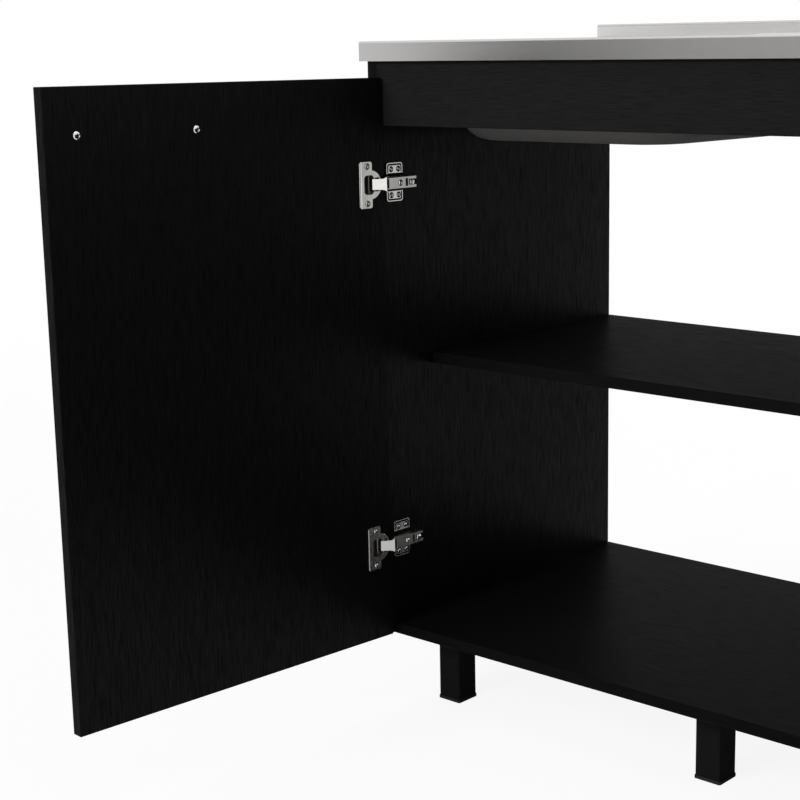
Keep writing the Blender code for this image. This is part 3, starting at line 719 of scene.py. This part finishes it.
class Side:
    """One side of the cabinet.

    Places are given as they are with the door closed, and come back as they are at rest.
    """

    def __init__(self, name, sign):
        self.name = name
        self.sign = sign
        low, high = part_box(name + "_side_panel")
        self.outer = max(abs(low.x), abs(high.x))
        self.front = low.y
        joints = {joint["name"]: joint for joint in frame["joints"]}
        behaviour = frame["record"]["behaviour"]
        ratios = {coupling["joint"]: coupling["ratio"] for coupling in behaviour["couplings"]}
        link = joints[name + "_link_turn"]
        door = joints[name + "_door_turn"]
        swing = max(abs(limit) for limit in link["range_deg"])
        turn = swing * abs(ratios[door["name"]])
        self.arm_pin = Vector(link["pos_m"])
        cup_pin = Vector(door["pos_m"])
        self.swing = Matrix.Rotation(math.radians(-sign * swing), 3, "Z")
        self.opening = Matrix.Rotation(math.radians(sign * (turn - swing)), 3, "Z")
        self.cup_pin = cup_pin
        self.closed_cup_pin = self.arm_pin + self.swing.inverted() @ (cup_pin - self.arm_pin)

    def fixed(self, inset, depth, height):
        """A place on the carcass, by its inset from the outer face and its depth behind the front."""
        return Vector((self.sign * (self.outer - inset), self.front + depth, height))

    def linked(self, inset, depth, height):
        """A place on the links."""
        return self.arm_pin + self.swing @ (self.fixed(inset, depth, height) - self.arm_pin)

    def on_door(self, distance, height, level):
        """A place on the door: distance from its hinge edge, and level above its inner face."""
        closed = self.fixed(DOOR_MARGIN + distance, level - DOOR_GAP, height)
        return self.cup_pin + self.opening @ (closed - self.closed_cup_pin)

    def pin_place(self, pin):
        """A pin's closed place as inset and depth."""
        return (self.outer - self.sign * pin.x, pin.y - self.front)


# Screws

def screw(radius, height, shank_radius=0.0, shank_length=0.0, turn=0.0):
    """A domed screw with a cross recess, its seat at level zero and its shank, if any, below that."""
    crown = []
    for angle in CROWN_ANGLES:
        tilt = math.radians(angle)
        crown.append((radius * math.cos(tilt), height * (RIM_SHARE + (1 - RIM_SHARE) * math.sin(tilt))))
    foot = [(radius, 0.0)]
    if shank_length:
        foot = [(shank_radius, -shank_length), (shank_radius, 0.0), (radius, 0.0)]
    head = turned_solid(foot + crown, SCREW_SIDES)
    long_half = radius * RECESS_REACH
    thin_half = radius * RECESS_WIDTH
    floor = height * RECESS_FLOOR
    top = height * 2
    head = cut(head, prism(rectangle((-long_half, -thin_half), (long_half, thin_half)), floor, top),
               prism(rectangle((-thin_half, -long_half), (thin_half, long_half)), floor, top))
    in_recess = near_any([(0.0, 0.0)], long_half + WELD)
    # Painted shade: the recess walls and floor are marked to wear the piece's darker other material.
    head = marked(head, lambda across, up, level: 0 < level < height * RECESS_SHADE and in_recess(across, up))
    spin = Matrix.Rotation(math.radians(turn), 3, "Z")
    return moved(head, lambda across, up, level: spin @ Vector((across, up, level)))


def screw_heads(radius, height, spots, turns, seat):
    """Screw heads on their spots, each with its recess turned, as one mesh."""
    heads = []
    for spot, turn in zip(spots, turns):
        heads.append(shifted(screw(radius, height, turn=turn), (*spot, seat)))
    return gathered(heads)


# Hinges

def cup_solid():
    """The cup and its flange in distance from the door's edge, height, and level above the door's face."""
    half = FLANGE_HEIGHT / 2
    far = FLANGE_NEAR + FLANGE_WIDTH
    section = [(FLANGE_NEAR, FLANGE_SEAT), (far, FLANGE_SEAT)]
    section += arc((far - FLANGE_LIP_ROUND, FLANGE_LIP_TOP - FLANGE_LIP_ROUND), FLANGE_LIP_ROUND, 0, 90)
    section += [(far - FLANGE_LIP, FLANGE_LIP_TOP), (far - FLANGE_LIP - FLANGE_LIP_SLOPE, FLANGE_TOP)]
    section += [(FLANGE_NEAR, FLANGE_TOP)]
    bar = moved(prism(section, -half, half), lambda distance, level, up: (distance, up, level))
    outline = rounded_rectangle((FLANGE_NEAR, -half), (far, half), FLANGE_CORNER)
    cup = combined(bar, prism(outline, FLANGE_SEAT, 2 * FLANGE_LIP_TOP), "INTERSECT")
    body = turned_solid([(CUP_RADIUS - CUP_FOOT, -CUP_SINK), (CUP_RADIUS, CUP_FOOT - CUP_SINK),
                         (CUP_RADIUS, FLANGE_SEAT), (RIM_RADIUS, FLANGE_SEAT),
                         (RIM_RADIUS, RIM_TOP - RIM_SLOPE), (RIM_RADIUS - RIM_SLOPE, RIM_TOP)])
    cup = joined(cup, shifted(body, (CUP_MIDDLE, 0.0, 0.0)))
    floor = CUP_WALL - CUP_SINK
    above = 2 * FLANGE_LIP_TOP
    wide = rounded_rectangle((POCKET_NEAR, -POCKET_HALF), (POCKET_FAR, POCKET_HALF), POCKET_CORNER)
    mouth = rounded_rectangle((MOUTH_NEAR, -MOUTH_HALF), (CUP_MIDDLE, MOUTH_HALF), MOUTH_CORNER)
    cup = cut(cup, prism(wide, floor, above), prism(mouth, floor, above))
    stop = circle((STOP_PLACE, -STOP_SINK), STOP_RADIUS, PIN_SIDES)
    stop_bar = prism(stop, -POCKET_HALF - WELD, POCKET_HALF + WELD)
    cup = joined(cup, moved(stop_bar, lambda distance, level, up: (distance, up, level)))
    for spot in FLANGE_SCREWS:
        room = circle(spot, FLANGE_SCREW + SCREW_ROOM, HOLE_SIDES)
        cup = cut(cup, prism(room, FLANGE_TOP - SCREW_SEAT, above))
    return cup


def link_solid(arm_pin, cup_pin):
    """The link in inset, depth and height: a slanted plate from two ears at the arm to an eye at the cup."""
    start, end = Vector(arm_pin), Vector(cup_pin)
    along = (end - start).normalized()
    outward = Vector((-along.y, along.x))
    near = start + along * LINK_START + outward * LINK_RISE_AT_ARM
    far = end + along * LINK_OVERRUN + outward * LINK_RISE_AT_CUP
    run = (far - near).normalized()
    thick = Vector((-run.y, run.x)) * LINK_THICKNESS / 2
    flare = LINK_EAR_HALF - LINK_TUCK - LINK_HALF
    rings = []
    for step in range(LINK_STEPS + 1):
        share = step / LINK_STEPS
        half = LINK_HALF + flare * max(0.0, 1 - share / LINK_FLARE) ** 2
        middle = near.lerp(far, share)
        outer, inner = middle + thick, middle - thick
        rings.append([(*outer, -half), (*outer, half), (*inner, half), (*inner, -half)])
    link = loft(rings)
    eye = prism(circle(end, LINK_EYE, HOLE_SIDES), LINK_TUCK - LINK_HALF, LINK_HALF - LINK_TUCK)
    link = joined(link, eye)
    heading = math.degrees(math.atan2(along.y, along.x))
    ear = arc(start, LINK_EAR_RADIUS, heading + 180, heading + 360, 2 * ARC_STEPS)
    ear += [tuple(near + run * LINK_THICKNESS), tuple(near + run * LINK_TUCK)]
    for low, high in ((LINK_EAR_INSIDE, LINK_EAR_HALF), (-LINK_EAR_HALF, -LINK_EAR_INSIDE)):
        link = joined(link, prism(ear, low, high))
    for pin in (start, end):
        link = cut(link, prism(circle(pin, PIN_HOLE, PIN_SIDES), -2 * LINK_EAR_HALF, 2 * LINK_EAR_HALF))
    return link


def arm_solid(arm_pin):
    """The channel-shaped arm in inset, depth and height: slotted web, open rear end between two prongs."""
    back = arm_pin[0] + ARM_NOSE
    foot = BOARD + ARM_FOOT_RISE
    outline = arc(arm_pin, ARM_NOSE, 0, -180, 2 * ARC_STEPS)
    outline += [(foot, ARM_FOOT_FRONT), (foot, ARM_REAR), (back, ARM_REAR)]
    arm = prism(outline, -ARM_HALF, ARM_HALF)
    inside = ARM_HALF - ARM_SHEET
    web = back - ARM_SHEET
    front = arm_pin[1] - 2 * ARM_NOSE
    beyond = ARM_REAR + ARM_NOSE
    arm = cut(arm, prism(rectangle((foot - ARM_NOSE, front), (web, beyond)), -inside, inside))
    slot = prism(rectangle((foot, ARM_SLOT[0]), (2 * back, ARM_SLOT[1])), -ARM_SLOT_HALF, ARM_SLOT_HALF)
    rear = prism(rectangle((foot, PRONG_FRONT), (2 * back, beyond)), -PRONG_INSIDE, PRONG_INSIDE)
    hole = moved(prism(circle((ADJUSTER_DEPTH, 0.0), ADJUSTER_HOLE, HOLE_SIDES), foot, 2 * back),
                 lambda depth, up, inset: (inset, depth, up))
    pin_hole = prism(circle(arm_pin, PIN_HOLE, PIN_SIDES), -2 * ARM_HALF, 2 * ARM_HALF)
    mouth = prism(rectangle((foot - ARM_NOSE, front), (2 * back, ARM_MOUTH)), -inside, inside)
    return cut(arm, slot, rear, hole, pin_hole, mouth)


def plate_solid():
    """The mounting plate in depth, height and level above the panel: grooved wings and the arm's cradle."""
    half = PLATE_HEIGHT / 2

    def wing_outline(inset):
        return rounded_rectangle((PLATE_FRONT + inset, inset - half), (PLATE_REAR - inset, half - inset),
                                 PLATE_CORNER - inset / 2)

    plate = prism(wing_outline(0.0), PLATE_SEAT, PLATE_TOP)
    above = 2 * PLATE_TOP
    groove = cut(prism(wing_outline(PLATE_RIM), GROOVE_FLOOR, above),
                 prism(wing_outline(PLATE_RIM + GROOVE_WIDTH), 0.0, 2 * above),
                 prism(rectangle((0.0, -GROOVE_END), (2 * PLATE_REAR, GROOVE_END)), 0.0, 2 * above))
    plate = cut(plate, groove)
    for spot in PLATE_SCREWS:
        room = circle(spot, PLATE_SCREW + SCREW_ROOM, HOLE_SIDES)
        plate = cut(plate, prism(room, PLATE_TOP - SCREW_SEAT, above))
    ridge_half = ARM_HALF - ARM_SHEET - RIDGE_PLAY
    ridge = prism(rectangle((RIDGE_FRONT, -ridge_half), (RIDGE_REAR, ridge_half)), PLATE_SEAT, RIDGE_LOW)
    plate = joined(plate, ridge)
    for way in (1, -1):
        section = [(way * CRADLE_INSIDE, PLATE_SEAT), (way * CRADLE_OUTSIDE, PLATE_SEAT),
                   (way * CRADLE_OUTSIDE, PLATE_TOP), (way * CRADLE_CREST, CRADLE_TOP),
                   (way * CRADLE_INSIDE, CRADLE_TOP)]
        cradle = prism(section, RIDGE_FRONT, CRADLE_REAR)
        plate = joined(plate, moved(cradle, lambda up, level, depth: (depth, up, level)))
    return plate


def add_hinge(side, label, height):
    """One cup hinge: its pieces ride on the door, on the links and on the carcass."""
    name = "{}_{}".format(side.name, label)
    door = side.name + "_door"
    arm_pin = side.pin_place(side.arm_pin)
    cup_pin = side.pin_place(side.closed_cup_pin)
    arm_back = arm_pin[0] + ARM_NOSE

    def on_door(distance, up, level):
        return side.on_door(distance, height + up, level)

    def on_panel(depth, up, level):
        return side.fixed(BOARD + level, depth, height + up)

    # Painted shade: the cup's inside below the door's face and the rooms round the flange screws are marked to
    # wear the darker shaded nickel.
    in_cup_room = near_any(FLANGE_SCREWS, FLANGE_SCREW + SCREW_ROOM + WELD)
    cup = marked(cup_solid(), lambda distance, up, level: level < FLANGE_SEAT or (
        level < FLANGE_TOP - WELD and in_cup_room(distance, up)))
    # Painted highlight and shade on the flange's raised lip: the upper hinge's lip wears the brighter screw
    # plating, the lower one's the darker half-shade nickel.
    lip_start = FLANGE_NEAR + FLANGE_WIDTH - FLANGE_LIP
    cup = marked(cup, lambda distance, up, level: distance > lip_start and level > FLANGE_TOP, SECOND_OTHER)
    add_piece("cup_" + name, moved(cup, on_door), nickel, door,
              ["hinge_cup_" + name], HINGE_EDGE, [shade_nickel, LIP_PAINTED_LIGHT[label]])
    heads = screw_heads(FLANGE_SCREW, FLANGE_SCREW_HEIGHT, FLANGE_SCREWS, FLANGE_SCREW_TURNS,
                        FLANGE_TOP - SCREW_SEAT)
    add_piece("cup_screws_" + name, moved(heads, on_door), screw_plate, door,
              others=[deep_shade_nickel])

    def on_link(inset, depth, up):
        return side.linked(inset, depth, height + up)

    # Painted light: the upper hinge's link wears a lit, brighter copy of the nickel, the lower one the plain
    # nickel.
    add_piece("link_" + name, moved(link_solid(arm_pin, cup_pin), on_link), LINK_PAINTED_LIGHT[label],
              side.name + "_links", ["hinge_link_" + name], LINK_EDGE)

    def on_carcass(inset, depth, up):
        return side.fixed(inset, depth, height + up)

    # Painted shade: the arm wears a darker shaded copy of the plate's nickel.
    add_piece("arm_" + name, moved(arm_solid(arm_pin), on_carcass), half_shade_nickel, "carcass",
              ["hinge_arm_" + name], HINGE_EDGE)
    # Painted shade: the ridge and cradle under the arm and the rooms round the plate screws are marked to wear
    # near-black nickel.
    in_plate_room = near_any(PLATE_SCREWS, PLATE_SCREW + SCREW_ROOM + WELD)
    plate = marked(plate_solid(), lambda depth, up, level: level > PLATE_TOP + SEAT_GAP or (
        PLATE_SEAT < level < PLATE_TOP - WELD and in_plate_room(depth, up)))
    add_piece("plate_" + name, moved(plate, on_panel), nickel, "carcass",
              ["hinge_plate_" + name], HINGE_EDGE, [deep_shade_nickel])
    heads = screw_heads(PLATE_SCREW, PLATE_SCREW_HEIGHT, PLATE_SCREWS, PLATE_SCREW_TURNS,
                        PLATE_TOP - SCREW_SEAT)
    add_piece("plate_screws_" + name, moved(heads, on_panel), screw_plate, "carcass",
              others=[deep_shade_nickel])
    # Painted highlight on the adjuster's head, which wears the lit nickel, with painted shade in its recess.
    adjuster = shifted(screw(ADJUSTER, ADJUSTER_HEIGHT, ADJUSTER / 2, ADJUSTER_SHANK, ADJUSTER_TURN),
                       (ADJUSTER_DEPTH, 0.0, arm_back - BOARD - ARM_SHEET))
    add_piece("adjuster_" + name, moved(adjuster, on_panel), lit_nickel, "carcass",
              others=[shade_nickel])
    clamp = shifted(screw(CLAMP_HEAD, CLAMP_HEIGHT, CLAMP_SHANK, CLAMP_LENGTH, CLAMP_TURN),
                    (CLAMP_DEPTH, 0.0, arm_back - BOARD + SEAT_GAP))
    add_piece("clamp_screw_" + name, moved(clamp, on_panel), screw_plate, "carcass",
              ["hinge_clamp_screw_" + name], others=[deep_shade_nickel])


# Sink top

def sheet_section(grow, bottom):
    """The folded sheet's section in depth and height, drawn inwards by grow from its outer face."""
    low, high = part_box("sink_top")
    front = low.y + grow
    rear = high.y - grow
    step = high.y - LIP_THICKNESS
    lip_top = high.z - grow
    fold = FOLD - grow
    points = [(front, bottom), (rear, bottom)]
    points += arc((rear - fold, lip_top - fold), fold, 0, 90)
    points += arc((step + grow + fold, lip_top - fold), fold, 90, 180)
    points += arc((step - LIP_FILLET, worktop + LIP_FILLET), LIP_FILLET + grow, 0, -90)
    points += arc((front + fold, worktop - grow - fold), fold, 90, 180)
    return points


def sheet_block():
    """The outside of the folded sheet, with rounded ends."""
    low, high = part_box("sink_top")
    bottom = worktop - SKIRT
    rings = []
    for end, way in ((low.x, 1), (high.x, -1)):
        ring_set = []
        for angle in END_ANGLES:
            inward = END_ROUND * (1 - math.sin(math.radians(angle)))
            along = END_ROUND * (1 - math.cos(math.radians(angle)))
            section = sheet_section(inward, bottom)
            ring_set.append([(end + way * along, depth, height) for depth, height in section])
        rings += ring_set if way > 0 else reversed(ring_set)
    return loft(rings)


def bowl_block(grow, top_drop, rim_angle):
    """The bowl as a solid, larger by grow, from a drop below the worktop down to its floor."""
    rim = BOWL_RIM - grow
    section = []
    for step in range(BOWL_STEPS + 1):
        angle = math.radians(rim_angle * (1 - step / BOWL_STEPS))
        section.append((rim * math.cos(angle) - BOWL_RIM, BOWL_RIM - rim * math.sin(angle)))
    middle = (BOWL_DRAFT + BOWL_FLOOR_ROUND, BOWL_DEPTH - BOWL_FLOOR_ROUND)
    section += arc(middle, BOWL_FLOOR_ROUND + grow, 180, 90, BOWL_STEPS)
    section.insert(0, (section[0][0], top_drop))
    low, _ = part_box("sink_top")
    near = (low.x + BOWL_FROM_END, low.y + BOWL_FROM_FRONT)
    far = (near[0] + BOWL_WIDTH, near[1] + BOWL_LENGTH)
    rings = []
    for offset, drop in section:
        outline = rounded_rectangle((near[0] + offset, near[1] + offset), (far[0] - offset, far[1] - offset),
                                    BOWL_CORNER - offset, BOWL_CORNER_STEPS)
        rings.append([(*point, worktop - drop) for point in outline])
    return loft(rings)


def rib_solids():
    """Low pressed ribs on the draining side."""
    low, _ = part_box("sink_top")
    middle = low.y + BOWL_FROM_FRONT + BOWL_LENGTH / 2
    start, end = RIB_ENDS
    ribs = []
    for number in range(RIB_COUNT):
        across = middle + (number - (RIB_COUNT - 1) / 2) * RIB_SPACING
        rings = []
        for step in range(2 * RIB_STEPS + 1):
            angle = math.radians(180 * step / (2 * RIB_STEPS))
            along = start + RIB_HALF * (1 - math.cos(angle))
            if step > RIB_STEPS:
                along = end - RIB_HALF * (1 + math.cos(angle))
            share = max(math.sin(angle), RIB_TIP_SHARE)
            rings.append([(along, across + RIB_HALF * share * aside, worktop + RIB_HEIGHT * share * up - WELD)
                          for aside, up in circle((0.0, 0.0), 1.0, RIB_SIDES)])
        ribs.append(loft(rings))
    return gathered(ribs)


def add_sink_top():
    """One pressed steel sheet: folded edges, rear lip, bowl with a drain seat, ribbed draining side."""
    low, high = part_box("sink_top")
    floor = worktop - BOWL_DEPTH
    rear_step = high.y - LIP_THICKNESS
    bowl_reach = BOWL_LENGTH / 2 + BOWL_RIM
    drain = (low.x + BOWL_FROM_END + BOWL_WIDTH / 2, low.y + BOWL_FROM_FRONT + BOWL_LENGTH / 2, floor)
    middle = Vector(drain)
    hollow = moved(prism(sheet_section(SHEET, worktop - SKIRT - OVERCUT), low.x + SHEET, high.x - SHEET),
                   lambda depth, height, along: (along, depth, height))
    top = cut(sheet_block(), hollow)
    under_seat = turned_solid([(DRAIN_SEAT - DRAIN_DROP + SHEET, -DRAIN_DROP - SHEET),
                               (DRAIN_SEAT + SHEET, -SHEET / 2)])
    seat = turned_solid([(DRAIN_SEAT - DRAIN_DROP, -DRAIN_DROP), (DRAIN_SEAT, 0.0), (DRAIN_SEAT, OVERCUT)])
    hole = turned_solid([(DRAIN_RADIUS, -2 * OVERCUT), (DRAIN_RADIUS, OVERCUT)])
    under_bowl = bowl_block(SHEET, SHEET / 2, BOWL_UNDER_ANGLE)
    top = joined(top, under_bowl, shifted(under_seat, drain), rib_solids())
    in_bowl = bowl_block(0.0, -OVERCUT, BOWL_RIM_ANGLE)
    top = cut(top, in_bowl, shifted(seat, drain), shifted(hole, drain))
    # Painted highlight: the rear lip's front face is marked to wear a brighter copy of the steel.
    top = marked(top, lambda along, depth, height: depth < rear_step + WELD and height > worktop + LIP_FILLET)
    for face in top.polygons:
        away = face.center - middle
        outward = away.x * face.normal.x + away.y * face.normal.y
        below = face.center.z < worktop - SHEET / 2 and max(abs(away.x), abs(away.y)) < bowl_reach
        if below and (face.normal.z < -UNDER_TILT or outward > UNDER_REACH):
            face.material_index = SECOND_OTHER
    piece = add_piece("sink_sheet", top, steel, "carcass", ["sink_top"],
                      others=[lit_lip_steel, deadening])
    modifier = piece.modifiers.new("normals", "WEIGHTED_NORMAL")
    modifier.keep_sharp = True


# Handles and shelf pins

def add_handle(side):
    """A bar on two footed posts, and the two screws through the door that hold it."""
    door = side.name + "_door"
    outer = DOOR_WIDTH - HANDLE_FROM_FREE_EDGE
    places = {"inner": outer - HANDLE_SPACING, "outer": outer}
    bar_level = -DOOR_THICKNESS - HANDLE_STANDOFF
    start = places["inner"] - HANDLE_OVERRUN
    end = outer + HANDLE_OVERRUN
    profile = [(HANDLE_BAR - HANDLE_BAR_END, start), (HANDLE_BAR, start + HANDLE_BAR_END),
               (HANDLE_BAR, end - HANDLE_BAR_END), (HANDLE_BAR - HANDLE_BAR_END, end)]
    handle = moved(turned_solid(profile), lambda up, level, distance: (distance, up, level + bar_level))
    foot = -DOOR_THICKNESS - SEAT_GAP
    post = turned_solid([(HANDLE_POST, bar_level), (HANDLE_POST, foot - 2 * HANDLE_FOOT_HEIGHT),
                         (HANDLE_POST_FOOT, foot - HANDLE_FOOT_HEIGHT), (HANDLE_POST_FOOT, foot)])
    for distance in places.values():
        handle = joined(handle, shifted(post, (distance, 0.0, 0.0)))

    def on_door(distance, up, level):
        return side.on_door(distance, HANDLE_HEIGHT + up, level)

    add_piece("handle_bar_" + side.name, moved(handle, on_door), handle_metal, door,
              [side.name + "_handle"])
    length = SEAT_GAP + DOOR_THICKNESS + HANDLE_SCREW_BITE
    for place, distance in places.items():
        bolt = screw(HANDLE_SCREW, HANDLE_SCREW_HEIGHT, HANDLE_SCREW_SHANK, length, HANDLE_SCREW_TURN)
        bolt = moved(shifted(bolt, (distance, 0.0, SEAT_GAP)), on_door)
        add_piece("handle_bolt_{}_{}".format(side.name, place), bolt, screw_plate, door,
                  ["{}_handle_screw_{}".format(side.name, place)], others=[deep_shade_nickel])


def add_shelf_pin(node):
    """A turned pin with a groove at the panel's face and broken edges."""
    low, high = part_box(node)
    radius = (high.z - low.z) / 2
    middle = (low + high) / 2
    half = (high.x - low.x) / 2
    profile = [(radius - PIN_CHAMFER, -half), (radius, PIN_CHAMFER - half), (radius, -PIN_CHAMFER),
               (radius - PIN_GROOVE, 0.0), (radius, PIN_CHAMFER), (radius, half - PIN_CHAMFER),
               (radius - PIN_CHAMFER, half)]
    pin = moved(turned_solid(profile, SCREW_SIDES),
                lambda across, up, along: (middle.x + along, middle.y + across, middle.z + up))
    add_piece("turned_" + node, pin, screw_plate, "carcass", [node])


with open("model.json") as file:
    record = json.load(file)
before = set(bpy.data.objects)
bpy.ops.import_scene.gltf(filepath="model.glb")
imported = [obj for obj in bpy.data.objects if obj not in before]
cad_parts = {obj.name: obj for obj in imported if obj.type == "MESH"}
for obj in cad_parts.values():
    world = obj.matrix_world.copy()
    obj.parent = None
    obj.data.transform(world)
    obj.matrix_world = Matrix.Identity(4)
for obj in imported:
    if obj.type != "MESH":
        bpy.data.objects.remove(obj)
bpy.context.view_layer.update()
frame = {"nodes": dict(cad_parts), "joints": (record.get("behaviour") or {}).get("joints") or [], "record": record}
bpy.context.scene.view_settings.view_transform = "Standard"

# All boards are the same black melamine; their tones are painted light and shade: the rail lightest, the shelf and
# bottom lighter, the doors and side panels darkest. Board nodes not listed below take the rail's tone.
door_board = board_material("board_door", grain="Z", tone=0.30, specular=0.0, coat=0.105)
side_board = board_material("board_side", grain="Z", tone=0.32, specular=0.0, coat=0.112)
shelf_board = board_material("board_shelf", grain="X", tone=0.55, specular=0.0012)
bottom_board = board_material("board_bottom", grain="X", tone=0.45, specular=0.005)
rail_board = board_material("board_rail", grain="X", tone=1.1, specular=0.0018)
steel = steel_material("sink_steel_brushed", along="X", level=0.61, gloss=0.20)
# A lit copy of the sink steel: painted highlight on the rear lip's front face.
lit_lip_steel = steel_material("sink_steel_lip_lit", along="X", level=0.80, gloss=0.42)
nickel = plated_material("nickel_plate", colour=(0.50, 0.495, 0.48), gloss=0.24)
# Lit and shaded copies of the one nickel plate: half shade for the arm and the lower lip, shade for the cup's
# inside and recesses, deep shade for the gaps round the arm and the screws, lit for the upper link and the
# adjuster's head.
half_shade_nickel = plated_material("nickel_plate_half_shade", colour=(0.35, 0.345, 0.335), gloss=0.26)
shade_nickel = plated_material("nickel_plate_shaded", colour=(0.18, 0.174, 0.167), gloss=0.36)
deep_shade_nickel = plated_material("nickel_plate_deep_shade", colour=(0.022, 0.0215, 0.021), gloss=0.40)
lit_nickel = plated_material("nickel_plate_lit", colour=(0.90, 0.885, 0.86), gloss=0.18)
screw_plate = plated_material("screw_plate", colour=(0.72, 0.715, 0.70), gloss=0.16)
leg_paint = coated_material("leg_paint", colour=(0.0066, 0.0066, 0.0068), gloss=0.40)
deadening = coated_material("sound_deadening", colour=(0.09, 0.087, 0.085), gloss=0.60)
foot_plastic = coated_material("foot_moulding", colour=(0.02, 0.02, 0.02), gloss=0.5)
handle_metal = plated_material("handle_satin", colour=(0.6, 0.6, 0.59), gloss=0.3)
# Painted light: the upper link wears a lit copy of the lower link's nickel.
LINK_PAINTED_LIGHT = {"upper": lit_nickel, "lower": nickel}
# Painted highlight on the upper flange lip and painted shade on the lower one.
LIP_PAINTED_LIGHT = {"upper": screw_plate, "lower": half_shade_nickel}
FINISH_OF_SLOT = {
    "sink_steel": steel, "plated_steel": nickel, "leg": leg_paint, "foot": foot_plastic,
    "handle": handle_metal}
BOARD_OF_NODE = {
    "left_side_panel": side_board, "right_side_panel": side_board, "left_door": door_board,
    "right_door": door_board, "shelf": shelf_board, "bottom_panel": bottom_board}
for part in frame["record"]["subparts"]:
    board = BOARD_OF_NODE.get(part["node"], rail_board)
    dress(part["node"], FINISH_OF_SLOT.get(part["material_slot"], board))

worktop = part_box("sink_top")[1].z - LIP_HEIGHT
add_sink_top()
for side in (Side("left", -1), Side("right", 1)):
    for label, height in HINGE_HEIGHTS.items():
        add_hinge(side, label, height)
    add_handle(side)
for node in sorted(frame["nodes"]):
    if node.startswith("shelf_pin"):
        add_shelf_pin(node)

make_world()
make_floor()
for name, settings in FLAGS.items():
    make_flag(name, **settings)
for name, settings in LAMPS.items():
    make_lamp(name, **settings)
make_camera()
